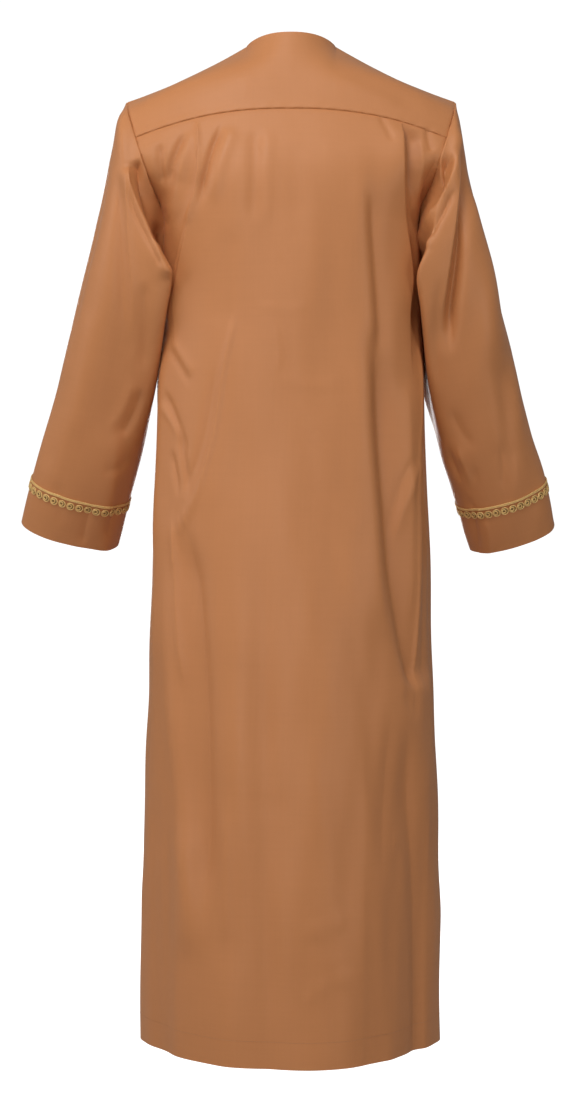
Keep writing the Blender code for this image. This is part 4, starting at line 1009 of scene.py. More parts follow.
@dataclass
class SeamBook:
    """Both sides of every seam that shows, and how the cloth lies there."""

    dip: float = 0.1
    wave: float = 2.1
    slow_wave: float = 3.1
    slant: float = 0.7
    seams: tuple[Seam, ...] = (
        Seam("back", Edge.LAST_ROW, 0.34, -0.02, 1.2, 0.6),
        Seam("yoke", Edge.FIRST_ROW, 0.09, 0.075, 0.8, 0.35),
        Seam("back", Edge.FIRST_COLUMN, 0.3),
        Seam("back", Edge.LAST_COLUMN, 0.3),
        Seam("yoke", Edge.FIRST_COLUMN, 0.24),
        Seam("yoke", Edge.LAST_COLUMN, 0.24),
        Seam("front", Edge.FIRST_COLUMN, 0.3),
        Seam("front", Edge.LAST_COLUMN, 0.3),
        Seam("yoke_front_left", Edge.FIRST_ROW, 0.12, 0.05, 0.7),
        Seam("yoke_front_right", Edge.FIRST_ROW, 0.12, 0.05, 0.7),
        Seam("sleeve_left", Edge.FIRST_ROW, 0.1, 0.1, 1.1, 0.3),
        Seam("sleeve_right", Edge.FIRST_ROW, 0.1, 0.14, 0.8, 0.25),
    )

    def lift(self, name: str, points: Points) -> Points:
        """How far the seams round one grid move its points.

        Args:
            name: The grid's name.
            points: Its points by row and column.

        Returns:
            Distance out along the normal.
        """
        rim, total = np.zeros(points.shape[:2]), np.zeros(points.shape[:2])
        for seam in self.seams:
            if seam.grid != name:
                continue
            axis, last = seam.edge.value
            steps = np.linalg.norm(np.diff(points, axis=axis), axis=2)
            if last:
                steps = np.flip(steps, axis)
            away = np.insert(np.cumsum(steps, axis=axis), 0, 0.0, axis=axis)
            if last:
                away = np.flip(away, axis)
            near = np.exp(-((away / seam.narrow) ** 2))
            along = points[..., 0] + self.slant * points[..., 2]
            wavy = 1 + seam.pucker * np.sin(math.tau * along / self.wave + np.sin(along / self.slow_wave))
            rim = np.maximum(rim, near)
            total += seam.beside * wavy * (1 - near) * np.exp(-((away / seam.reach) ** 2))
        return total - self.dip * rim


@dataclass
class Unevenness:
    """Slow swells that no cloth is without: wave length across and down, height and phase of each."""

    depth_share: float = 0.9
    bend: float = 1.3
    bend_length: float = 17.0
    waves: tuple[tuple[float, float, float, float], ...] = (
        (11.3, 61.0, 0.060, 0.4), (7.9, -43.0, 0.045, 1.9), (17.1, 35.0, 0.060, 3.1),
        (5.3, 29.0, 0.022, 5.2), (29.0, -19.0, 0.050, 2.2), (4.1, -23.0, 0.014, 0.9),
    )

    def lift(self, points: Points) -> Points:
        """Height of the swells.

        Args:
            points: Points of the cloth.

        Returns:
            Distance out along the normal at each.
        """
        around = points[:, 0] + self.depth_share * points[:, 1]
        total = np.zeros(len(points))
        for across, down, height, phase in self.waves:
            bend = self.bend * np.sin(points[:, 2] / self.bend_length + phase)
            total += height * np.sin(math.tau * (around / across + points[:, 2] / down) + phase + bend)
        return total


# The cloth as one outer surface


@dataclass
class Skin:
    """All blocks of the garment as one outer surface, with the threads' directions in metres."""

    points: Points = field(default_factory=lambda: np.zeros((0, 3)))
    faces: Points = field(default_factory=lambda: np.zeros((0, 4), int))
    uvs: Points = field(default_factory=lambda: np.zeros((0, 4, 2)))
    panels: Points = field(default_factory=lambda: np.zeros(0, object))
    regions: Points = field(default_factory=lambda: np.zeros(0, object))
    grids: dict[str, Points] = field(default_factory=dict)
    normals: Points = field(default_factory=lambda: np.zeros((0, 3)))
    mitre: Points = field(default_factory=lambda: np.zeros(0))
    relief: Points = field(default_factory=lambda: np.zeros(0))
    weld_digits: int = 4
    least_mitre: float = 0.5
    calm_above: tuple[float, float] = (-10.0, -22.0)
    calm: float = 0.15
    sleeve_fades: tuple[float, float] = (1.1, 1.6)

    def add(self, name: str, grid: Points, panel: str, region: str, flip: bool, closed: bool = False) -> None:
        """Adds one block.

        Args:
            name: What the block is called.
            grid: Its points by row and column.
            panel: The cloth piece it belongs to.
            region: Body or a sleeve, for its folds.
            flip: Whether its faces turn the other way.
            closed: Whether its last column is its first one.
        """
        middle = grid.shape[1] // 2
        steps = np.linalg.norm(np.diff(grid, axis=1), axis=2)
        across = np.concatenate([np.zeros((len(grid), 1)), np.cumsum(steps, axis=1)], axis=1)
        across -= across[:, middle:middle + 1]
        down = np.concatenate([[0], np.cumsum(np.linalg.norm(np.diff(grid, axis=0), axis=2).mean(axis=1))])
        chart = np.stack([across, np.broadcast_to(down[:, None], across.shape)], axis=-1) * CM
        if closed:
            grid = grid[:, :-1]
        rows, columns = grid.shape[:2]
        index = len(self.points) + np.arange(rows * columns).reshape(rows, columns)
        if closed:
            index = np.concatenate([index, index[:, :1]], axis=1)
        faces = self.corners(index, flip).reshape(-1, 4)
        self.points = np.concatenate([self.points, grid.reshape(-1, 3)])
        self.faces = np.concatenate([self.faces, faces])
        self.uvs = np.concatenate([self.uvs, self.corners(chart, flip).reshape(-1, 4, 2)])
        self.panels = np.concatenate([self.panels, np.full(len(faces), panel, dtype=object)])
        self.regions = np.concatenate([self.regions, np.full(rows * columns, region, dtype=object)])
        self.grids[name] = index

    @staticmethod
    def corners(values: Points, flip: bool) -> Points:
        """The values at the four corners of each face of a grid."""
        corners = [values[:-1, :-1], values[:-1, 1:], values[1:, 1:], values[1:, :-1]]
        return np.stack(corners[::-1] if flip else corners, axis=2)

    def weld(self) -> tuple[Points, Points]:
        """Finds the points that lie together.

        Returns:
            The first point at each place, and the place of each point.
        """
        rounded = np.round(self.points, self.weld_digits)
        _, first, same = np.unique(rounded, axis=0, return_index=True, return_inverse=True)
        return first, same.ravel()

    def middles(self) -> Points:
        """Middle of each face."""
        return self.points[self.faces].mean(axis=1)

    def read_normals(self) -> tuple[Points, Points]:
        """Smooth normals, each panel counting alike at a seam.

        Returns:
            The normals, and how much longer a wall's corner is there.
        """
        _, same = self.weld()
        corners = self.points[self.faces]
        crossing = np.cross(corners[:, 2] - corners[:, 0], corners[:, 3] - corners[:, 1])
        size = same.max() + 1
        total, met = np.zeros((size, 3)), np.zeros(size)
        for panel in np.unique(self.panels):
            own = self.panels == panel
            part = np.zeros_like(total)
            for corner in range(4):
                place = same[self.faces[own, corner]]
                for axis in range(3):
                    part[:, axis] += np.bincount(place, crossing[own, axis], size)
            length = np.linalg.norm(part, axis=1)
            here = length > 0
            total[here] += part[here] / length[here, None]
            met += here
        length = np.linalg.norm(total, axis=1)
        return (total / length[:, None])[same], (1 / np.maximum(length / met, self.least_mitre))[same]

    def between(self, values: Points) -> Points:
        """Sets each second value along an armhole, which only the sleeve has, to the mean of its neighbours.

        Args:
            values: A value for each point; they are changed in place.

        Returns:
            The same values.
        """
        for side in Side:
            row = self.grids["sleeve_" + side.word][0]
            values[row[1::2]] = (values[row[:-1:2]] + values[row[2::2]]) / 2
        return values

    def move(self, body: BodyForm, folds: FoldBook, pleats: Pleats, swells: Unevenness,
             seams: SeamBook) -> None:
        """Lays the pleats, folds, swells and seams into the surface, alike where blocks meet.

        Args:
            body: The body's form.
            folds: The folds by region.
            pleats: The two pleats.
            swells: The slow unevenness.
            seams: The seams.
        """
        normals = unit(self.between(self.read_normals()[0]))
        lift, slide = np.zeros(len(self.points)), np.zeros(len(self.points))
        for region in ("body", "sleeve_left", "sleeve_right"):
            own = np.nonzero(self.regions == region)[0]
            for face, fold in folds.of(region):
                lift[own] += fold.lift(face, self.points[own], normals[own])
        share = smooth_step(*self.calm_above, self.points[:, 2])
        lift += swells.lift(self.points) * (share * (1 - self.calm) + self.calm)
        on_body = self.regions == "body"
        own = np.nonzero(on_body)[0]
        lifted, slid = pleats.shift(self.points[own], normals[own], body)
        lift[own] += lifted
        slide[own] += slid
        _, same = self.weld()
        shared = np.zeros(same.max() + 1)
        shared[same[on_body]] = lift[on_body]
        for side in Side:
            grid = self.grids["sleeve_" + side.word]
            away = np.linalg.norm(np.diff(self.points[grid], axis=0), axis=2).cumsum(axis=0)
            away = np.concatenate([np.zeros((1, away.shape[1])), away])
            at_seam = shared[same[grid[0]]]
            at_seam[1::2] = (at_seam[:-1:2] + at_seam[2::2]) / 2
            own_from, body_to = self.sleeve_fades
            lift[grid] = lift[grid] * smooth_step(0, own_from, away) + at_seam * smooth_step(body_to, 0, away)
        for name, grid in self.grids.items():
            lift[grid] += seams.lift(name, self.points[grid])
        sideways = np.array([1.0, 0, 0]) - normals * normals[:, :1]
        self.points = self.points + normals * lift[:, None] + unit(sideways) * slide[:, None]
        self.relief = lift
        self.normals, self.mitre = self.read_normals()
        self.normals = unit(self.between(self.normals))
        self.mitre = self.between(self.mitre)


@dataclass
class Tailoring:
    """How the cloth is put together: its thickness, its seams, its hems and its slit."""

    cloth: float = 0.07
    seam_gap: float = 0.02
    ply_gap: float = 0.035
    turning_gap: float = 0.12
    hem_depth: float = 3.7
    cuff_depth: float = 4.6
    slit_end_z: float = -36.0


@dataclass
class Shell:
    """A thin closed sheet cut from the skin, between two distances from it."""

    name: str
    outside: float
    inside: float
    crease: float = 62.0
    least_corner: float = 0.5

    def build(self, skin: Skin, chosen: Points, material: Material, gap: float) -> Piece:
        """Makes the piece.

        Args:
            skin: The outer surface.
            chosen: Which of its faces the sheet covers.
            material: Its material.
            gap: How wide a seam's gap is between two sheets.

        Returns:
            The object, its two faces and its rim closed.
        """
        first, same = skin.weld()
        faces = same[skin.faces[chosen]]
        used = np.unique(faces)
        renumber = np.full(len(first), -1)
        renumber[used] = np.arange(len(used))
        faces = renumber[faces]
        pick = first[used]
        points, normals = skin.points[pick], skin.normals[pick]
        rim = self.rim(faces)
        points = self.pull(points, normals, rim, gap / 2)
        deep = normals * skin.mitre[pick, None]
        shell = np.concatenate([points + deep * self.outside, points - deep * self.inside])
        count = len(points)
        edge = np.stack([rim[:, 1], rim[:, 0], rim[:, 0] + count, rim[:, 1] + count], axis=1)
        quads = np.concatenate([faces, faces[:, ::-1] + count, edge])
        corner = np.zeros((count, 2))
        corner[faces.ravel()] = skin.uvs[chosen].reshape(-1, 2)
        uvs = np.concatenate([skin.uvs[chosen], skin.uvs[chosen][:, ::-1], corner[edge % count]])
        relief = np.concatenate([skin.relief[pick], -skin.relief[pick]])
        return MeshMaker.add(self.name, (shell, [quads], [uvs]), material, relief, self.crease)

    @staticmethod
    def rim(faces: Points) -> Points:
        """Finds the open edges of a set of faces.

        Args:
            faces: The faces.

        Returns:
            Each open edge as its start and end.
        """
        edges = np.stack([faces, np.roll(faces, -1, axis=1)], axis=-1).reshape(-1, 2)
        size = int(faces.max()) + 1
        keys, back = edges[:, 0] * size + edges[:, 1], edges[:, 1] * size + edges[:, 0]
        return edges[~np.isin(keys, back)]

    def pull(self, points: Points, normals: Points, rim: Points, reach: float) -> Points:
        """Moves the rim into the sheet along its surface.

        Args:
            points: The sheet's points.
            normals: Its normals.
            rim: Its open edges.
            reach: How far the rim moves.

        Returns:
            The points, the rim's moved.
        """
        along = points[rim[:, 1]] - points[rim[:, 0]]
        total, first = np.zeros_like(points), np.zeros_like(points)
        for end in (0, 1):
            inward = unit(np.cross(normals[rim[:, end]], along))
            np.add.at(total, rim[:, end], inward)
            first[rim[:, end]] = inward
        way = unit(total)
        touched = np.linalg.norm(total, axis=1) > 0
        along_first = np.maximum((way * first).sum(axis=1), self.least_corner)
        moved = points.copy()
        moved[touched] += (way * (reach / along_first)[:, None])[touched]
        return moved


class MeshMaker:
    """Turns arrays of points and faces into objects."""

    @staticmethod
    def add(name: str, solid: Solid, material: Material, relief: Points | None = None,
            sharp: float = 40.0) -> Piece:
        """Makes an object.

        Args:
            name: Its name.
            solid: Its points in centimetres, its faces by number of corners, and their charts in metres.
            material: Its material.
            relief: How far each point stands out, for its wear and for the painted shade in its creases and
                painted light on its ridges.
            sharp: Angle in degrees from which an edge is drawn sharp.

        Returns:
            The object, linked into the scene.
        """
        points, faces, charts = solid
        mesh = bpy.data.meshes.new(name)
        mesh.vertices.add(len(points))
        mesh.vertices.foreach_set("co", (np.asarray(points) * CM).astype(np.float32).ravel())
        corners = np.concatenate([part.ravel() for part in faces]).astype(np.int32)
        sizes = np.concatenate([np.full(len(part), part.shape[1]) for part in faces])
        mesh.loops.add(len(corners))
        mesh.loops.foreach_set("vertex_index", corners)
        mesh.polygons.add(len(sizes))
        mesh.polygons.foreach_set("loop_start", np.concatenate([[0], np.cumsum(sizes)[:-1]]).astype(np.int32))
        if charts:
            chart = np.concatenate([part.reshape(-1, 2) for part in charts])
            mesh.uv_layers.new(name="grain").data.foreach_set("uv", chart.astype(np.float32).ravel())
        if relief is not None:
            layer = mesh.attributes.new("relief", "FLOAT", "POINT")
            layer.data.foreach_set("value", relief.astype(np.float32))
        mesh.materials.append(material)
        mesh.update(calc_edges=True)
        mesh.validate()
        mesh.shade_smooth()
        mesh.set_sharp_from_angle(angle=math.radians(sharp))
        piece = bpy.data.objects.new(name, mesh)
        bpy.context.scene.collection.objects.link(piece)
        return piece

    @staticmethod
    def quads(grid: Points) -> Points:
        """The four corners of each field of a grid of numbers."""
        return np.stack([grid[:-1, :-1], grid[1:, :-1], grid[1:, 1:], grid[:-1, 1:]], axis=2)

    @classmethod
    def tube(cls, centres: Points, radius: Points | float, sides: int, up: Points, closed: bool) -> Solid:
        """Points and faces of a tube round a line.

        Args:
            centres: The line.
            radius: Its radius, one for all or for each ring and side.
            sides: Corners of its ring.
            up: A direction for each centre that the ring starts from.
            closed: Whether the line is a loop.

        Returns:
            Points, arrays of faces and their charts.
        """
        following, before = np.roll(centres, -1, axis=0), np.roll(centres, 1, axis=0)
        if not closed:
            following[-1], before[0] = centres[-1], centres[0]
        along = unit(following - before)
        side = unit(np.cross(along, up))
        lift = np.cross(side, along)
        angle = np.arange(sides) * math.tau / sides
        radius = np.broadcast_to(np.asarray(radius, float), (len(centres), sides))[..., None]
        ring = np.cos(angle)[None, :, None] * side[:, None] + np.sin(angle)[None, :, None] * lift[:, None]
        points = (centres[:, None] + ring * radius).reshape(-1, 3)
        index = np.arange(len(points)).reshape(-1, sides)
        if closed:
            index = np.concatenate([index, index[:1]])
        turned = np.concatenate([index, index[:, :1]], axis=1)
        length = arc_lengths(centres if not closed else np.concatenate([centres, centres[:1]])) * CM
        girth = np.arange(sides + 1) / sides * float(np.mean(radius)) * math.tau * CM
        chart = np.stack(np.broadcast_arrays(girth[None, :], length[:len(index), None]), axis=-1)
        parts, charts = [cls.quads(turned).reshape(-1, 4)], [cls.quads(chart).reshape(-1, 4, 2)]
        if not closed:
            for ring_index, turn in ((index[0], 1), (index[-1], -1)):
                parts.append(ring_index[::turn][None])
                charts.append(np.zeros((1, sides, 2)))
        return points, parts, charts

    @staticmethod
    def join(solids: list[Solid]) -> Solid:
        """Puts several sets of points and faces together.

        Args:
            solids: The sets.

        Returns:
            One set, its faces by number of corners.
        """
        count, by_size = 0, {}
        for points, faces, charts in solids:
            for face, chart in zip(faces, charts):
                entry = by_size.setdefault(face.shape[1], ([], []))
                entry[0].append(face + count)
                entry[1].append(chart)
            count += len(points)
        sizes = sorted(by_size)
        faces = [np.concatenate(by_size[size][0]) for size in sizes]
        charts = [np.concatenate(by_size[size][1]) for size in sizes]
        return np.concatenate([solid[0] for solid in solids]), faces, charts


# Finishes


@dataclass
class Net:
    """A node tree, with short calls that add to it."""

    tree: Tree

    def feed(self, socket: Socket, value: Socket | float | tuple[float, ...]) -> None:
        """Feeds an input.

        Args:
            socket: The input.
            value: An output to link to it, or its constant.
        """
        if isinstance(value, Socket):
            self.tree.links.new(value, socket)
        else:
            socket.default_value = value

    def add(self, kind: str, feeds: dict[str | int, Socket | float | tuple[float, ...]] | None = None,
            **settings: str | Tree) -> Sockets:
        """Adds a node.

        Args:
            kind: Its type.
            feeds: What each of its inputs gets.
            settings: Its own settings, made before the inputs.

        Returns:
            Its outputs.
        """
        node = self.tree.nodes.new(kind)
        for name, value in settings.items():
            setattr(node, name, value)
        for label, value in (feeds or {}).items():
            self.feed(node.inputs[label], value)
        return node.outputs

    def maths(self, operation: str, *values: Socket | float) -> Socket:
        """The output of a Math node."""
        return self.add("ShaderNodeMath", dict(enumerate(values)), operation=operation)[0]

    def plus(self, first: Socket | float, second: Socket | float) -> Socket:
        """The sum of two values."""
        return self.maths("ADD", first, second)

    def minus(self, first: Socket | float, second: Socket | float) -> Socket:
        """The difference of two values."""
        return self.maths("SUBTRACT", first, second)

    def times(self, first: Socket | float, second: Socket | float) -> Socket:
        """The product of two values."""
        return self.maths("MULTIPLY", first, second)

    def noise(self, place: Socket, scale: Socket | float, detail: float = 2.0,
              roughness: float = 0.5) -> Socket:
        """Soft noise between 0 and 1."""
        feeds = {"Vector": place, "Scale": scale, "Detail": detail, "Roughness": roughness}
        return self.add("ShaderNodeTexNoise", feeds)["Fac"]


class NodeGroups:
    """The shader groups that several materials share, each built once; their tones lie round one half."""

    HALF = 0.5
    WEFT_PITCH = 1.6
    RIB_HEIGHT = 0.36
    WEFT_HEIGHT = 0.14
    RIB_TONE = 0.05
    SLUBS = ((260.0, 9.0, 1.0), (11.0, 210.0, 1.0))
    CLOUD = 0.55
    RUB = 1.6
    GRAIN_SCALE = 700.0
    PLY_TONE = 0.16

    @staticmethod
    def start(name: str, inputs: dict[str, float | None],
              outputs: tuple[str, str]) -> tuple[Net, Sockets, Sockets]:
        """Makes an empty group with named sockets.

        Args:
            name: The group's name.
            inputs: Each input's default; None is for a vector.
            outputs: Names of the outputs, all numbers.

        Returns:
            The group, what it is given and what it puts out.
        """
        tree = bpy.data.node_groups.new(name, "ShaderNodeTree")
        for label, default in inputs.items():
            kind = "NodeSocketVector" if default is None else "NodeSocketFloat"
            socket = tree.interface.new_socket(label, in_out="INPUT", socket_type=kind)
            if default is not None:
                socket.default_value = default
        for label in outputs:
            tree.interface.new_socket(label, in_out="OUTPUT", socket_type="NodeSocketFloat")
        return Net(tree), tree.nodes.new("NodeGroupInput").outputs, tree.nodes.new("NodeGroupOutput").inputs

    @cached_property
    def weave(self) -> Tree:
        """Threads of a woven cloth, with a Height for a bump and a Tone for its colour.

        Returns:
            The group.
        """
        inputs = {"Chart": None, "Lines": 1500.0, "Slope": 1.1, "Slub": 0.5}
        net, given, out = self.start("woven threads", inputs, ("Height", "Tone"))
        across, down, _ = net.add("ShaderNodeSeparateXYZ", {0: given["Chart"]})
        turn = net.times(given["Lines"], math.tau)
        slanted = net.plus(across, net.times(down, given["Slope"]))
        rib = net.maths("SINE", net.times(slanted, turn))
        weft = net.maths("SINE", net.times(down, net.times(turn, self.WEFT_PITCH)))
        height = net.plus(net.times(rib, self.RIB_HEIGHT), net.times(weft, self.WEFT_HEIGHT))
        net.feed(out["Height"], net.plus(height, self.HALF))
        tones = []
        for stretch in self.SLUBS:
            place = net.add("ShaderNodeMapping", {"Scale": stretch, "Vector": given["Chart"]})[0]
            tones.append(net.minus(net.noise(place, 1.0, detail=3.0, roughness=0.6), self.HALF))
        shade = net.plus(net.times(net.plus(*tones), given["Slub"]), net.times(rib, self.RIB_TONE))
        net.feed(out["Tone"], net.plus(shade, self.HALF))
        return net.tree

    @cached_property
    def handling(self) -> Tree:
        """Broad Tone from slow noise, with painted shade in the creases and painted light on the ridges from
        its relief, and Wear where ridges rub.

        Returns:
            The group.
        """
        inputs = {"Place": None, "Relief": 0.0, "Patch": 9.0, "Depth": 0.35}
        net, given, out = self.start("cloth handling", inputs, ("Tone", "Wear"))
        noise = net.noise(given["Place"], given["Patch"], detail=4.0, roughness=0.55)
        cloud = net.times(net.minus(noise, self.HALF), self.CLOUD)
        # the relief shifts the tone: painted shade in the creases, painted light on the ridges
        tone = net.plus(net.plus(cloud, net.times(given["Relief"], given["Depth"])), self.HALF)
        net.feed(out["Tone"], net.maths("MINIMUM", net.maths("MAXIMUM", tone, 0.0), 1.0))
        rub = net.times(net.maths("MAXIMUM", given["Relief"], 0.0), noise)
        net.feed(out["Wear"], net.maths("MINIMUM", net.times(rub, self.RUB), 1.0))
        return net.tree

    @cached_property
    def twist(self) -> Tree:
        """Plies of a twisted or wrapped thread, with a Height for a bump and a Tone for its colour.

        Returns:
            The group.
        """
        inputs = {"Chart": None, "Turns": 900.0, "Slope": 0.8}
        net, given, out = self.start("thread twist", inputs, ("Height", "Tone"))
        round_it, along, _ = net.add("ShaderNodeSeparateXYZ", {0: given["Chart"]})
        slanted = net.plus(along, net.times(round_it, given["Slope"]))
        wave = net.maths("SINE", net.times(slanted, net.times(given["Turns"], math.tau)))
        net.feed(out["Height"], net.plus(net.times(wave, self.HALF), self.HALF))
        grain = net.times(net.minus(net.noise(given["Chart"], self.GRAIN_SCALE), self.HALF), self.HALF)
        net.feed(out["Tone"], net.plus(net.plus(grain, net.times(wave, self.PLY_TONE)), self.HALF))
        return net.tree


@dataclass(frozen=True)
class Finish:
    """What all finishes have: a name, a dark and a light tone, and a gloss."""

    name: str
    dark: tuple[float, float, float]
    light: tuple[float, float, float]
    roughness: float

    def make(self, groups: NodeGroups) -> Material:
        """Builds the material.

        Args:
            groups: The shared shader groups.

        Returns:
            The material.
        """
        material = bpy.data.materials.new(self.name)
        material.use_nodes = True
        shader = material.node_tree.nodes["Principled BSDF"].inputs
        shader["Roughness"].default_value = self.roughness
        self.dress(Net(material.node_tree), shader, groups)
        return material

    def dress(self, net: Net, shader: Sockets, groups: NodeGroups) -> None:
        """Feeds the shader's inputs; each kind of finish has its own way."""
        raise NotImplementedError

    def tint(self, net: Net, shader: Sockets, factor: Socket) -> None:
        """Colours the shader between dark and light by a factor."""
        feeds = {"A": (*self.dark, 1), "B": (*self.light, 1), "Factor": factor}
        net.feed(shader["Base Color"], net.add("ShaderNodeMix", feeds, data_type="RGBA")["Result"])

    @staticmethod
    def bump(net: Net, shader: Sockets, height: Socket, strength: float, distance: float) -> None:
        """Feeds a height to the shader's normal, its distance in metres."""
        feeds = {"Strength": strength, "Distance": distance, "Height": height}
        net.feed(shader["Normal"], net.add("ShaderNodeBump", feeds)["Normal"])


@dataclass(frozen=True)
class ClothFinish(Finish):
    """A woven cloth with a soft sheen."""

    weave: Weave = Weave.TWILL
    sheen: float = 0.05
    sheen_roughness: float = 0.45
    sheen_tint: tuple[float, float, float] = (1.0, 0.74, 0.5)
    specular: float = 0.36
    slub: float = 0.5
    patch: float = 9.0
    # how strongly the relief paints shade into the creases and light onto the ridges
    painted_crease_shade: float = 0.22
    thread_tone: float = 0.4
    unrubbed: float = 0.04
    rubbed: float = 0.1
    bump_strength: float = 0.35
    bump_distance: float = 0.00012

    def dress(self, net: Net, shader: Sockets, groups: NodeGroups) -> None:
        """Gives the shader its weave, its handled tone with painted shade in the creases and painted light on
        the ridges, and its sheen.

        Args:
            net: The material's nodes.
            shader: The shader's inputs.
            groups: The shared shader groups.
        """
        shader["Sheen Weight"].default_value = self.sheen
        shader["Sheen Roughness"].default_value = self.sheen_roughness
        shader["Sheen Tint"].default_value = (*self.sheen_tint, 1)
        shader["Specular IOR Level"].default_value = self.specular
        lines, slope = self.weave.value
        chart = net.add("ShaderNodeUVMap", uv_map="grain")[0]
        feeds = {"Chart": chart, "Lines": lines, "Slope": slope, "Slub": self.slub}
        threads = net.add("ShaderNodeGroup", feeds, node_tree=groups.weave)
        relief = net.add("ShaderNodeAttribute", attribute_name="relief")["Fac"]
        feeds = {"Place": net.add("ShaderNodeTexCoord")["Object"], "Relief": relief, "Patch": self.patch,
                 "Depth": self.painted_crease_shade}
        hand = net.add("ShaderNodeGroup", feeds, node_tree=groups.handling)
        # broad tone: slow noise with painted shade in the creases and painted light on the ridges
        broad = net.times(hand["Tone"], 1 - self.thread_tone)
        self.tint(net, shader, net.plus(net.times(threads["Tone"], self.thread_tone), broad))
        rough = net.minus(self.roughness + self.unrubbed, net.times(hand["Wear"], self.rubbed))
        net.feed(shader["Roughness"], rough)
        self.bump(net, shader, threads["Height"], self.bump_strength, self.bump_distance)


@dataclass(frozen=True)
class ThreadFinish(Finish):
    """Twisted sewing or metal thread."""

    metallic: float = 0.0
    turns: float = 900.0
    slope: float = 0.8
    bump_strength: float = 0.6
    bump_distance: float = 0.0002

    def dress(self, net: Net, shader: Sockets, groups: NodeGroups) -> None:
        """Gives the shader its plies.

        Args:
            net: The material's nodes.
            shader: The shader's inputs.
            groups: The shared shader groups.
        """
        shader["Metallic"].default_value = self.metallic
        chart = net.add("ShaderNodeUVMap", uv_map="grain")[0]
        feeds = {"Chart": chart, "Turns": self.turns, "Slope": self.slope}
        plies = net.add("ShaderNodeGroup", feeds, node_tree=groups.twist)
        self.tint(net, shader, plies["Tone"])
        self.bump(net, shader, plies["Height"], self.bump_strength, self.bump_distance)


@dataclass(frozen=True)
class MouldedFinish(Finish):
    """A smooth moulded surface with a faint cloud in it."""

    patch: float = 240.0
    coat: float = 0.0

    def dress(self, net: Net, shader: Sockets, groups: NodeGroups) -> None:
        """Gives the shader its cloud and its coat.

        Args:
            net: The material's nodes.
            shader: The shader's inputs.
            groups: The shared shader groups.
        """
        shader["Coat Weight"].default_value = self.coat
        feeds = {"Place": net.add("ShaderNodeTexCoord")["Object"], "Patch": self.patch, "Depth": 0.0}
        self.tint(net, shader, net.add("ShaderNodeGroup", feeds, node_tree=groups.handling)["Tone"])


@dataclass(frozen=True)
class FloorFinish(MouldedFinish):
    """A pale floor that reads as bright as the surround but throws little light up at the cloth."""

    patch: float = 1.2
    glow: float = 1.02

    def dress(self, net: Net, shader: Sockets, groups: NodeGroups) -> None:
        """Gives the shader its cloud, and a glow for the camera alone.

        Args:
            net: The material's nodes.
            shader: The shader's inputs.
            groups: The shared shader groups.
        """
        super().dress(net, shader, groups)
        seen = net.add("ShaderNodeLightPath")["Is Camera Ray"]
        feeds = {"A": (0, 0, 0, 1), "B": (1, 1, 1, 1), "Factor": seen}
        net.feed(shader["Emission Color"], net.add("ShaderNodeMix", feeds, data_type="RGBA")["Result"])
        shader["Emission Strength"].default_value = self.glow


@dataclass
class Wardrobe:
    """All finishes of this garment and its floor."""

    groups: NodeGroups = field(default_factory=NodeGroups)
    cloth_finish: Finish = ClothFinish("caramel cloth", (0.480, 0.186, 0.065), (0.597, 0.237, 0.086), 0.43)
    inner_finish: Finish = ClothFinish(
        "caramel facing", (0.44, 0.173, 0.064), (0.55, 0.220, 0.086), 0.56, weave=Weave.PLAIN)
    braid_finish: Finish = ThreadFinish(
        "gold braid thread", (0.70, 0.38, 0.09), (1.0, 0.72, 0.32), 0.34, metallic=0.35, turns=1400.0)
    # dark thread that paints the shade inside the braid's rings
    ground_finish: Finish = ThreadFinish("shaded braid thread", (0.24, 0.12, 0.035), (0.36, 0.20, 0.06), 0.6)
    stitch_finish: Finish = ThreadFinish(
        "caramel sewing thread", (0.36, 0.15, 0.06), (0.56, 0.27, 0.12), 0.5, turns=2600.0)
    button_finish: Finish = MouldedFinish(
        "dyed button", (0.26, 0.105, 0.042), (0.36, 0.155, 0.068), 0.3, coat=0.3)
    floor_finish: Finish = FloorFinish("pale floor", (0.34, 0.34, 0.34), (0.38, 0.38, 0.38), 0.9)

    def __post_init__(self) -> None:
        """Builds each material once."""
        self.cloth = self.cloth_finish.make(self.groups)
        self.inner = self.inner_finish.make(self.groups)
        self.braid = self.braid_finish.make(self.groups)
        self.ground = self.ground_finish.make(self.groups)
        self.stitch = self.stitch_finish.make(self.groups)
        self.button = self.button_finish.make(self.groups)
        self.floor = self.floor_finish.make(self.groups)


# Sub-assemblies


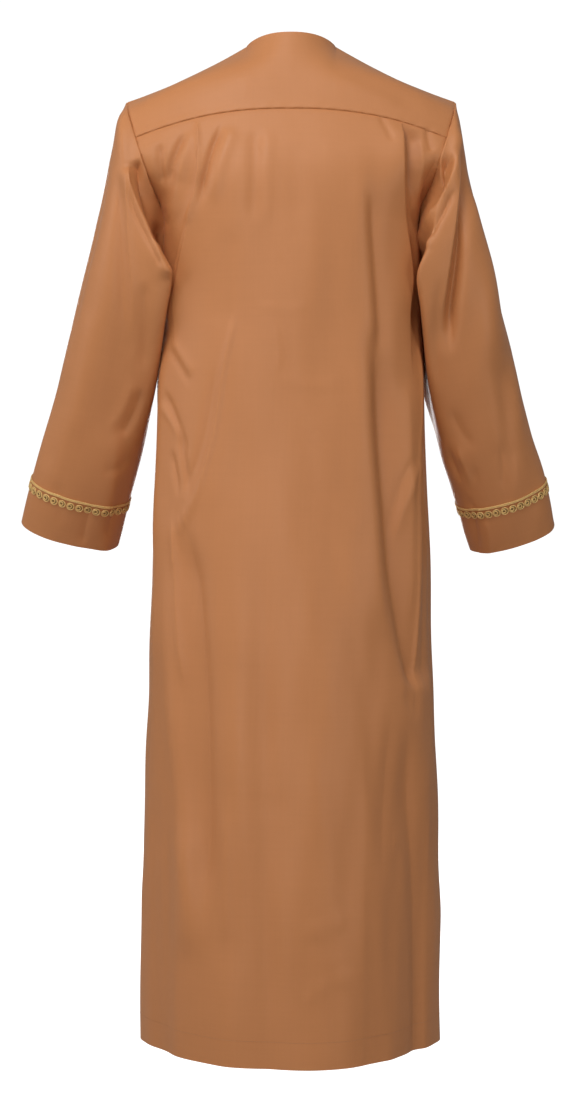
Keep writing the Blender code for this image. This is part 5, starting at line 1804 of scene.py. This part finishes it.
@dataclass
class Garment:
    """The cloth: its skin and the pieces cut from it."""

    wardrobe: Wardrobe
    body: BodyForm = field(default_factory=BodyForm)
    sleeve: SleeveForm = field(default_factory=SleeveForm)
    folds: FoldBook = field(default_factory=FoldBook)
    pleats: Pleats = field(default_factory=Pleats)
    swells: Unevenness = field(default_factory=Unevenness)
    seams: SeamBook = field(default_factory=SeamBook)
    tailoring: Tailoring = field(default_factory=Tailoring)
    skin: Skin = field(default_factory=Skin)
    above_cuff: dict[Side, Points] = field(default_factory=dict)
    skirt_top: float = -60.0
    skirt_spacing: float = 1.1
    row_spacing: float = 0.6
    strip_spacing: float = 0.42
    sleeve_spacing: float = 0.65
    front_parts: int = 5
    side_parts: int = 4
    back_parts: tuple[tuple[int, int], ...] = ((3, 10), (8, 11), (16, 5), (19, 9), (24, 11))
    yoke_front_rows: int = 6
    braid_lines: tuple[float, float] = (6.6, 4.85)
    allowance_rows: int = 5
    row_slack: float = 0.01

    @staticmethod
    def columns(stretches: tuple[tuple[int, int], ...]) -> Points:
        """Where the mesh has its columns, counted in the form's columns.

        Args:
            stretches: Up to which column, and in how many parts each column is.

        Returns:
            Rising places, from 0 to the last column.
        """
        places, start = [0.0], 0
        for end, parts in stretches:
            places += list(np.linspace(start, end, (end - start) * parts + 1)[1:])
            start = end
        return np.array(places)

    def build_skin(self) -> None:
        """Builds the folded outer surface."""
        body, skin = self.body, self.skin
        lead = np.arange(body.side_columns * self.side_parts) / self.side_parts
        back_columns = self.columns(self.back_parts)
        front_columns = self.columns(((body.front_columns, self.front_parts),))
        hem_line = body.hem_z + self.tailoring.hem_depth
        skirt = graded(body.hem_z, self.skirt_top, self.skirt_spacing, (hem_line,))
        heights = np.concatenate([skirt, graded(self.skirt_top, body.armhole_z, self.row_spacing)[1:]])
        panel_rises = graded(0, body.seam_height, self.strip_spacing, (body.seam_height,))
        yoke_rises = graded(body.seam_height, body.top_height, self.strip_spacing, (body.seam_height,))
        front_rises = graded(0, body.front_seam_height, self.strip_spacing, (body.front_seam_height,))
        back = body.strip_rows(Face.BACK, np.concatenate([panel_rises, yoke_rises[1:]]), back_columns)
        seam_row = len(panel_rises) - 1
        grids = {"ring_back": body.ring_rows(Face.BACK, heights, back_columns, lead),
                 "ring_front": body.ring_rows(Face.FRONT, heights, front_columns, lead),
                 "back": back[:seam_row + 1], "yoke": back[seam_row:],
                 "front": body.strip_rows(Face.FRONT, front_rises, front_columns)}
        for name, grid in grids.items():
            front = "front" in name
            panel = "back_yoke" if name == "yoke" else "front_panel" if front else "back_panel"
            skin.add(name, grid, panel, "body", flip=front)
        ends = back[-1], back_columns, grids["front"][-1], front_columns
        for side in Side:
            ridge, seam = self.shoulder_columns(*ends, side)
            grids["yoke_front"] = body.yoke_front(side, seam, ridge, self.yoke_front_rows)
            skin.add("yoke_front_" + side.word, grids["yoke_front"], "back_yoke", "body", flip=True)
            self.add_sleeve(side, back, grids, len(lead))
        skin.move(body, self.folds, self.pleats, self.swells, self.seams)

    def shoulder_columns(self, ridge: Points, ridge_columns: Points, seam: Points, seam_columns: Points,
                         side: Side) -> tuple[Points, Points]:
        """The ridge and the front seam from the shoulder to the neck, both at the back's columns.

        Args:
            ridge: Top row of the back.
            ridge_columns: Its columns.
            seam: Top row of the front.
            seam_columns: Its columns.
            side: Left or right.

        Returns:
            The ridge's points and the seam's.
        """
        reach = self.body.neck_column
        if side is Side.LEFT:
            own, other, offset = ridge_columns <= reach, seam_columns <= reach, 0.0
        else:
            own, other = ridge_columns >= ridge_columns[-1] - reach, seam_columns >= seam_columns[-1] - reach
            offset = seam_columns[-1] - ridge_columns[-1]
        places = ridge_columns[own] + offset
        read = [np.interp(places, seam_columns[other], seam[other][:, axis]) for axis in range(3)]
        return ridge[own], np.stack(read, axis=-1)

    def add_sleeve(self, side: Side, back: Points, grids: dict[str, Points], lead: int) -> None:
        """Adds one sleeve, whose first row runs round the armhole.

        Args:
            side: Left or right.
            back: Grid of the back and yoke above the armholes.
            grids: Grids of the blocks round the armhole, by name.
            lead: Number of columns between the side seam and the armhole.
        """
        low_back, low_front = grids["ring_back"][-1], grids["ring_front"][-1]
        if side is Side.LEFT:
            column, under = 0, [low_back[:lead][::-1], low_front[1:lead + 1]]
        else:
            column, under = -1, [low_back[-lead:], low_front[-lead - 1:-1][::-1]]
        armhole = np.concatenate([back[::-1, column], *under, grids["front"][1:, column],
                                  grids["yoke_front"][1:, column]])
        middles = (armhole[1:] + armhole[:-1]) / 2
        armhole = np.insert(armhole, np.arange(1, len(armhole)), middles, axis=0)
        mirror = np.array([side.value, 1, 1])
        lines = (*self.braid_lines, self.tailoring.cuff_depth)
        grid, self.above_cuff[side] = self.sleeve.rows(armhole * mirror, side, self.sleeve_spacing, lines)
        name = "sleeve_" + side.word
        self.skin.add(name, grid * mirror, name, name, flip=side is Side.LEFT, closed=True)

    def turning(self, name: str, chosen: Points) -> Piece:
        """Makes a second layer of cloth, pressed flat behind the first.

        Args:
            name: Its name.
            chosen: Which faces of the skin it lies behind.

        Returns:
            The piece.
        """
        deep = self.tailoring.cloth + self.tailoring.ply_gap
        return Shell(name, -deep, deep + self.tailoring.cloth).build(self.skin, chosen, self.wardrobe.inner,
                                                                     self.tailoring.turning_gap)

    def build(self) -> dict[str, Piece]:
        """Makes the five cloth panels with their turned hems and the yoke's seam allowance.

        Returns:
            The pieces by name.
        """
        self.build_skin()
        skin, cut, pieces = self.skin, self.tailoring, {}
        middles = skin.middles()
        slit = (skin.panels == "front_panel") & (np.abs(middles[:, 0]) < self.body.slit_width / 2)
        slit &= middles[:, 2] > cut.slit_end_z
        for panel in PANELS:
            shell = Shell(panel + "_cloth", 0.0, cut.cloth)
            chosen = (skin.panels == panel) & ~slit
            pieces[panel] = shell.build(skin, chosen, self.wardrobe.cloth, cut.seam_gap)
        for word in ("back", "front"):
            chosen = (skin.panels == word + "_panel") & (middles[:, 2] < self.body.hem_z + cut.hem_depth)
            pieces["hem_turning_" + word] = self.turning("hem_turning_" + word, chosen)
        above, below = skin.grids["yoke"][:self.allowance_rows], skin.grids["back"][-self.allowance_rows:]
        beside = np.concatenate([below, above])
        chosen = np.isin(skin.faces, beside).all(axis=1)
        pieces["yoke_seam_allowance"] = self.turning("yoke_seam_allowance", chosen)
        for side in Side:
            low = skin.grids["sleeve_" + side.word][self.above_cuff[side] < cut.cuff_depth + self.row_slack]
            chosen = (skin.panels == "sleeve_" + side.word) & np.isin(skin.faces, low).all(axis=1)
            pieces["cuff_turning_" + side.word] = self.turning("cuff_turning_" + side.word, chosen)
        return pieces


@dataclass
class Placket:
    """The front opening's two bands and its buttons."""

    garment: Garment
    past_slit: float = 5.0
    band: float = 0.1
    gap: float = 0.03
    count: int = 4
    radius: float = 0.57
    height: float = 0.26
    sides: int = 40
    first_down: float = 1.6
    last_up: float = 3.0
    seat: float = 0.02
    hole_off: float = 0.213
    thread_radius: float = 0.034
    thread_sides: int = 8
    thread_steps: int = 11
    plies: tuple[float, float] = (-0.035, 0.035)
    thread_rise: float = 0.055
    thread_sunk: float = 0.03
    dish: float = 0.7
    profile: tuple[tuple[float, float], ...] = (
        (0.6, 0.0), (0.84, 0.04), (0.96, 0.2), (1.0, 0.42), (0.985, 0.68), (0.93, 0.9),
        (0.85, 1.0), (0.77, 0.97), (0.7, 0.82), (0.62, 0.72), (0.3, 0.69))
    eye_height: float = 0.68

    def build_bands(self) -> dict[str, Piece]:
        """Makes the band on the outside and the one on the inside.

        Returns:
            The two pieces by CAD node.
        """
        skin, cut, wardrobe = self.garment.skin, self.garment.tailoring, self.garment.wardrobe
        middles, half = skin.middles(), self.garment.body.placket_width / 2
        chosen = (skin.panels == "front_panel") & (np.abs(middles[:, 0]) < half)
        chosen &= middles[:, 2] > cut.slit_end_z - self.past_slit
        top = Shell("placket_top_band", self.gap + self.band, -self.gap)
        under = Shell("placket_under_band", -cut.cloth - self.gap, cut.cloth + self.gap + self.band)
        return {"placket_top": top.build(skin, chosen, wardrobe.cloth, cut.seam_gap),
                "placket_under": under.build(skin, chosen, wardrobe.inner, cut.seam_gap)}

    def middle_line(self) -> tuple[Points, Points]:
        """Follows the front's middle from the bottom up.

        Returns:
            Points and normals.
        """
        skin, chosen = self.garment.skin, []
        for name in ("ring_front", "front"):
            grid = skin.grids[name]
            chosen.append(grid[:, int(np.argmin(np.abs(skin.points[grid[-1], 0])))])
        line = np.concatenate([chosen[0][:-1], chosen[1]])
        return skin.points[line], skin.normals[line]

    def build_buttons(self) -> dict[str, Piece]:
        """Makes the dished buttons with their holes' thread.

        Returns:
            The buttons by CAD node, and their threads.
        """
        points, normals = self.middle_line()
        top, low = points[-1, 2] - self.first_down, self.garment.tailoring.slit_end_z + self.last_up
        pieces = {}
        for number in range(self.count):
            z = top + (low - top) * number / (self.count - 1)
            place = np.array([0.0, np.interp(z, points[:, 2], points[:, 1]), z])
            out = unit(np.array([0, *(np.interp(z, points[:, 2], normals[:, axis]) for axis in (1, 2))]))
            base = place + out * (2 * self.gap + self.band + self.seat)
            name = f"button_{number + 1}"
            pieces[name] = self.button(name + "_dished", base, out)
            pieces[name + "_thread"] = self.cross_thread(name + "_thread", base, out)
        return pieces

    def button(self, name: str, base: Points, out: Points) -> Piece:
        """Makes one turned button, square to the cloth.

        Args:
            name: Its name.
            base: The middle of its underside.
            out: The way it faces.

        Returns:
            The button.
        """
        side = np.array([1.0, 0, 0])
        up = np.cross(out, side)
        angle = np.arange(self.sides) * math.tau / self.sides
        way = np.cos(angle)[:, None] * side + np.sin(angle)[:, None] * up
        rings = [base + share * self.radius * way + out * rise * self.height for share, rise in self.profile]
        points = np.concatenate([np.concatenate(rings), [base, base + out * self.eye_height * self.height]])
        index = np.arange(len(rings) * self.sides).reshape(len(rings), self.sides)
        turned = np.concatenate([index, index[:, :1]], axis=1)
        last = len(points)
        low = np.stack([turned[0, 1:], turned[0, :-1], np.full(self.sides, last - 2)], axis=-1)
        high = np.stack([turned[-1, :-1], turned[-1, 1:], np.full(self.sides, last - 1)], axis=-1)
        faces = [Skin.corners(turned, False).reshape(-1, 4), np.concatenate([low, high])]
        return MeshMaker.add(name, (points, faces, []), self.garment.wardrobe.button)

    def cross_thread(self, name: str, base: Points, out: Points) -> Piece:
        """Makes the crossed threads through a button's four holes.

        Args:
            name: The piece's name.
            base: The middle of the button's underside.
            out: The way it faces.

        Returns:
            Two plies each way, joined.
        """
        side = np.array([1.0, 0, 0])
        up = np.cross(out, side)
        face = base + out * self.dish * self.height
        span = np.linspace(-1, 1, self.thread_steps)
        rise = self.thread_rise * (1 - span**4)[:, None] - self.thread_sunk
        parts = []
        for turn in (1, -1):
            way = unit(side + turn * up)
            for ply in self.plies:
                centres = face + np.cross(out, way) * ply + way * (span * self.hole_off)[:, None] + out * rise
                parts.append(MeshMaker.tube(centres, self.thread_radius, self.thread_sides,
                                            np.broadcast_to(out, centres.shape), closed=False))
        return MeshMaker.add(name, MeshMaker.join(parts), self.garment.wardrobe.stitch)


@dataclass
class Braid:
    """Gold trim round one sleeve: two twisted cords over a row of double rings, each filled with dark thread
    that paints the shade inside it.
    """

    garment: Garment
    side: Side
    top: float = 7.5
    height: float = 1.75
    rings: int = 31
    ring_steps: int = 36
    ring_sides: int = 9
    cord_radius: float = 0.09
    cord_pitch: float = 0.36
    cord_steps: int = 8
    cord_sides: int = 12
    cord_lift: float = 0.01
    second_down: float = 3.1
    ply_waist: float = 0.8
    ply_swell: float = 0.26
    outer_radius: float = 0.5
    inner_radius: float = 0.26
    inner_off: float = 0.1
    inner_wire: float = 0.9
    inner_lift: float = 1.2
    wire: float = 0.092
    wire_wrap: float = 0.09
    wire_lift: float = 0.9
    # how far the dark fill that paints the rings' shade lies above the cloth
    ground: float = 0.03
    ground_turns: int = 4

    def loop(self, height: float) -> tuple[Points, Points, Points]:
        """The closed line round the sleeve at a height above the cuff's edge.

        Args:
            height: The height, measured along the cloth.

        Returns:
            Points, normals and the direction down the sleeve.
        """
        skin = self.garment.skin
        low_rows = self.garment.above_cuff[self.side] < 2 * self.top
        grid = skin.grids["sleeve_" + self.side.word][low_rows, :-1][::-1]
        points, normals = skin.points[grid], skin.normals[grid]
        steps = np.linalg.norm(np.diff(points, axis=0), axis=2)
        away = np.insert(np.cumsum(steps, axis=0), 0, 0.0, axis=0)
        low = (away < height).sum(axis=0) - 1
        column = np.arange(grid.shape[1])
        share = ((height - away[low, column]) / steps[low, column])[:, None]
        a, b = points[low, column], points[low + 1, column]
        normal = unit(normals[low, column] * (1 - share) + normals[low + 1, column] * share)
        return a * (1 - share) + b * share, normal, unit(a - b)

    def places(self, height: float, count: int) -> list[Points]:
        """Evenly spaced places on a loop.

        Args:
            height: The loop's height above the cuff's edge.
            count: How many places.

        Returns:
            Points, normals and the direction down the sleeve.
        """
        lines = [np.concatenate([line, line[:1]]) for line in self.loop(height)]
        along = arc_lengths(lines[0])
        arcs = np.arange(count) / count * along[-1]
        return [np.stack([np.interp(arcs, along, values) for values in line.T], axis=-1) for line in lines]

    def cord(self, height: float, hand: int) -> Solid:
        """Makes one two-ply cord laid round the sleeve.

        Args:
            height: Its height above the cuff's edge.
            hand: 1 or -1, which way it is twisted.

        Returns:
            The cord.
        """
        line = self.loop(height)[0]
        length = arc_lengths(np.concatenate([line, line[:1]]))[-1]
        count = round(length / self.cord_pitch) * self.cord_steps
        line, normal, _ = self.places(height, count)
        phase = np.arange(count)[:, None] / self.cord_steps * math.pi * hand
        angle = np.arange(self.cord_sides)[None] * math.tau / self.cord_sides
        radius = self.cord_radius * (self.ply_waist + self.ply_swell * np.abs(np.cos(angle - phase)))
        centres = line + normal * (self.cord_radius + self.cord_lift)
        return MeshMaker.tube(centres, radius, self.cord_sides, normal, closed=True)

    def ring(self, centre: Points, normal: Points, down: Points, radius: float, wire: float,
             lift: float) -> Solid:
        """Makes one wrapped ring lying on the cloth.

        Args:
            centre: Its middle.
            normal: The way out of the cloth.
            down: The way down the sleeve.
            radius: Its radius.
            wire: Its thread's radius.
            lift: How far its thread's middle is above the cloth.

        Returns:
            The ring.
        """
        across = np.cross(down, normal)
        angle = np.arange(self.ring_steps)[:, None] * math.tau / self.ring_steps
        line = centre + radius * (np.cos(angle) * across + np.sin(angle) * down)
        wrap = wire * (1 + self.wire_wrap * np.cos(np.arange(self.ring_steps) * math.tau / 2))[:, None]
        up = np.broadcast_to(normal, line.shape)
        return MeshMaker.tube(line + normal * lift, wrap, self.ring_sides, up, closed=True)

    def build(self) -> list[Piece]:
        """Makes the trim.

        Returns:
            The cords and rings as one piece, and the closely sewn dark thread inside the rings, which paints
            their shade, as another.
        """
        parts = [self.cord(self.top - self.cord_radius, 1),
                 self.cord(self.top - self.second_down * self.cord_radius, -1)]
        # dark fill rings inside each ring: painted shade
        ring_shade_fill, ring_shade_wire = [], self.outer_radius / self.ground_turns / 2
        outer_lift, inner_lift = self.wire * self.wire_lift, self.wire * self.inner_lift
        inner_wire = self.wire * self.inner_wire
        middle = self.top - self.height + self.outer_radius + self.wire
        line, normal, down = self.places(middle, self.rings)
        for centre, out, fall in zip(line, unit(normal), unit(down)):
            parts.append(self.ring(centre, out, fall, self.outer_radius, self.wire, outer_lift))
            inner = centre + np.cross(fall, out) * self.inner_off
            parts.append(self.ring(inner, out, fall, self.inner_radius, inner_wire, inner_lift))
            for number in range(self.ground_turns):
                radius = (number + 0.5) / self.ground_turns * self.outer_radius
                ring_shade_fill.append(self.ring(centre, out, fall, radius, ring_shade_wire, self.ground))
        wardrobe, name = self.garment.wardrobe, "braid_" + self.side.word
        return [MeshMaker.add(name + "_rings", MeshMaker.join(parts), wardrobe.braid),
                MeshMaker.add(name + "_ground", MeshMaker.join(ring_shade_fill), wardrobe.ground)]


@dataclass
class Stitching:
    """The row of sewing thread that holds the bottom hem."""

    garment: Garment
    length: float = 0.26
    gap: float = 0.07
    radius: float = 0.022
    sides: int = 6
    arch: tuple[float, ...] = (-0.6, 0.5, 0.8, 0.5, -0.6)

    def row(self, line: Points, normals: Points) -> list[Solid]:
        """Stitches along a line on the cloth.

        Args:
            line: The line.
            normals: The cloth's normals along it.

        Returns:
            One small tube for each stitch.
        """
        along = arc_lengths(line)
        rise = self.radius * np.array(self.arch)[:, None]
        parts = []
        for number in range(int(along[-1] / (self.length + self.gap))):
            start = number * (self.length + self.gap)
            arcs = start + self.length * np.linspace(0, 1, len(self.arch))
            out = unit(np.stack([np.interp(arcs, along, normals[:, axis]) for axis in range(3)], axis=-1))
            centres = read_arcs(line, arcs) + out * rise
            parts.append(MeshMaker.tube(centres, self.radius, self.sides, out, closed=False))
        return parts

    def build(self) -> Piece:
        """Sews the hem, round the back and the front.

        Returns:
            All stitches as one piece.
        """
        skin, parts = self.garment.skin, []
        level = self.garment.body.hem_z + self.garment.tailoring.hem_depth
        for name in ("ring_back", "ring_front"):
            grid = skin.grids[name]
            row = grid[int(np.argmin(np.abs(skin.points[grid].mean(axis=1)[:, 2] - level)))]
            parts += self.row(skin.points[row], skin.normals[row])
        return MeshMaker.add("hem_stitches", MeshMaker.join(parts), self.garment.wardrobe.stitch)


@dataclass(frozen=True)
class Lamp:
    """A round soft light: where it hangs, how wide and strong it is, and how much gloss it gives."""

    name: str
    place: tuple[float, float, float]
    size: float
    power: float
    gloss: float


@dataclass
class Studio:
    """Floor, light and camera at the photograph's angle, in metres."""

    wardrobe: Wardrobe
    place: tuple[float, float, float] = (0.00907, 3.15443, -0.583695)
    tilt: float = 2.1767
    upright_view: float = 27.5806
    sensor: float = 24.0
    farthest: float = 60.0
    floor_z: float = -1.60
    floor_half: float = 30.0
    floor_lines: int = 25
    floor_spread: float = 1.8
    surround_seen: float = 1.05
    surround_lit: float = 0.28
    aim: tuple[float, float, float] = (0.0, 0.0, -0.5)
    lights: tuple[Lamp, ...] = (
        Lamp("key", (0.75, 1.75, 1.45), 1.0, 27.0, 1.0),
        Lamp("upper right", (-0.8, 1.7, 1.4), 0.7, 7.5, 1.0),
        Lamp("level", (0.6, 2.6, -0.4), 0.7, 11.0, 0.2),
        Lamp("left", (2.45, 0.65, 0.4), 2.2, 21.0, 0.6),
        Lamp("low right", (-1.8, 2.0, -0.5), 0.7, 8.5, 0.25),
        Lamp("front", (0.2, -3.0, -0.3), 1.8, 45.0, 0.0),
    )

    def build_camera(self) -> None:
        """Sets the camera."""
        data = bpy.data.cameras.new("photo camera")
        data.sensor_fit = "VERTICAL"
        data.sensor_height = self.sensor
        data.lens = self.sensor / 2 / math.tan(math.radians(self.upright_view / 2))
        data.clip_end = self.farthest
        camera = bpy.data.objects.new("photo camera", data)
        camera.location = self.place
        camera.rotation_euler = (math.radians(90 - self.tilt), 0, math.pi)
        bpy.context.scene.collection.objects.link(camera)
        bpy.context.scene.camera = camera

    def build_floor(self) -> None:
        """Makes the wide flat floor."""
        axis = signed_power(np.linspace(-1, 1, self.floor_lines), self.floor_spread) * self.floor_half / CM
        x, y = np.meshgrid(axis, axis, indexing="ij")
        points = np.stack([x, y, np.full_like(x, self.floor_z / CM)], axis=-1).reshape(-1, 3)
        index = np.arange(len(points)).reshape(x.shape)
        quads = MeshMaker.quads(index).reshape(-1, 4)
        floor = MeshMaker.add("floor", (points, [quads], []), self.wardrobe.floor)

    def hang(self, lamp: Lamp) -> None:
        """Hangs one light.

        Args:
            lamp: The light.
        """
        data = bpy.data.lights.new(lamp.name, "AREA")
        data.shape = "DISK"
        data.size = lamp.size
        data.energy = lamp.power
        data.specular_factor = lamp.gloss
        light = bpy.data.objects.new(lamp.name, data)
        light.visible_camera = False
        light.location = lamp.place
        light.rotation_euler = (Vector(self.aim) - Vector(lamp.place)).to_track_quat("-Z", "Y").to_euler()
        bpy.context.scene.collection.objects.link(light)

    def build_surround(self) -> None:
        """Sets a white surround that the camera sees brighter than the cloth does."""
        world = bpy.data.worlds.new("white surround")
        world.use_nodes = True
        world.node_tree.nodes.clear()
        bpy.context.scene.world = world
        net = Net(world.node_tree)
        lit, seen = (net.add("ShaderNodeBackground", {"Color": (1, 1, 1, 1), "Strength": strength})[0]
                     for strength in (self.surround_lit, self.surround_seen))
        feeds = {"Fac": net.add("ShaderNodeLightPath")["Is Camera Ray"], 1: lit, 2: seen}
        net.add("ShaderNodeOutputWorld", {"Surface": net.add("ShaderNodeMixShader", feeds)[0]})
        bpy.context.scene.view_settings.view_transform = "Standard"
        bpy.context.scene.view_settings.look = "None"

    def build(self) -> None:
        """Builds camera, floor and lights."""
        self.build_camera()
        self.build_floor()
        for lamp in self.lights:
            self.hang(lamp)
        self.build_surround()


def settle(piece: Piece, slot: str, *nodes: str) -> None:
    """Makes a piece ride on the garment.

    Args:
        piece: The piece.
        slot: The record's material slot.
        nodes: The CAD nodes it stands for.
    """
    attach(piece, "root")
    if nodes:
        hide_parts(*nodes)
    count, stands_for = len(piece.data.polygons), ", ".join(nodes) or "none"
    LOG.info("%s: %d faces, slot %s, for %s", piece.name, count, slot, stands_for)


def main() -> None:
    """Builds the garment, its trim and the studio, and says what each piece stands for."""
    logging.basicConfig(level=logging.INFO, format="%(message)s")
    wardrobe = Wardrobe()
    garment = Garment(wardrobe)
    cloth = garment.build()
    hem_stitches = Stitching(garment).build()
    placket = Placket(garment)
    bands, buttons = placket.build_bands(), placket.build_buttons()
    for name, piece in cloth.items():
        settle(piece, "cloth", *([name] if name in PANELS else []))
    settle(hem_stitches, "cloth")
    for name, piece in bands.items():
        settle(piece, "cloth", name)
    for name, piece in buttons.items():
        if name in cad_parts:
            settle(piece, "buttons", name)
        else:
            settle(piece, "cloth")
    trims = {}
    for side in Side:
        trims[side] = Braid(garment, side).build()
        settle(trims[side][0], "braid", "braid_" + side.word)
        settle(trims[side][1], "braid")
    for side in Side:
        name = "sleeve_" + side.word
    Studio(wardrobe).build()


if __name__ == "__main__":
    main()
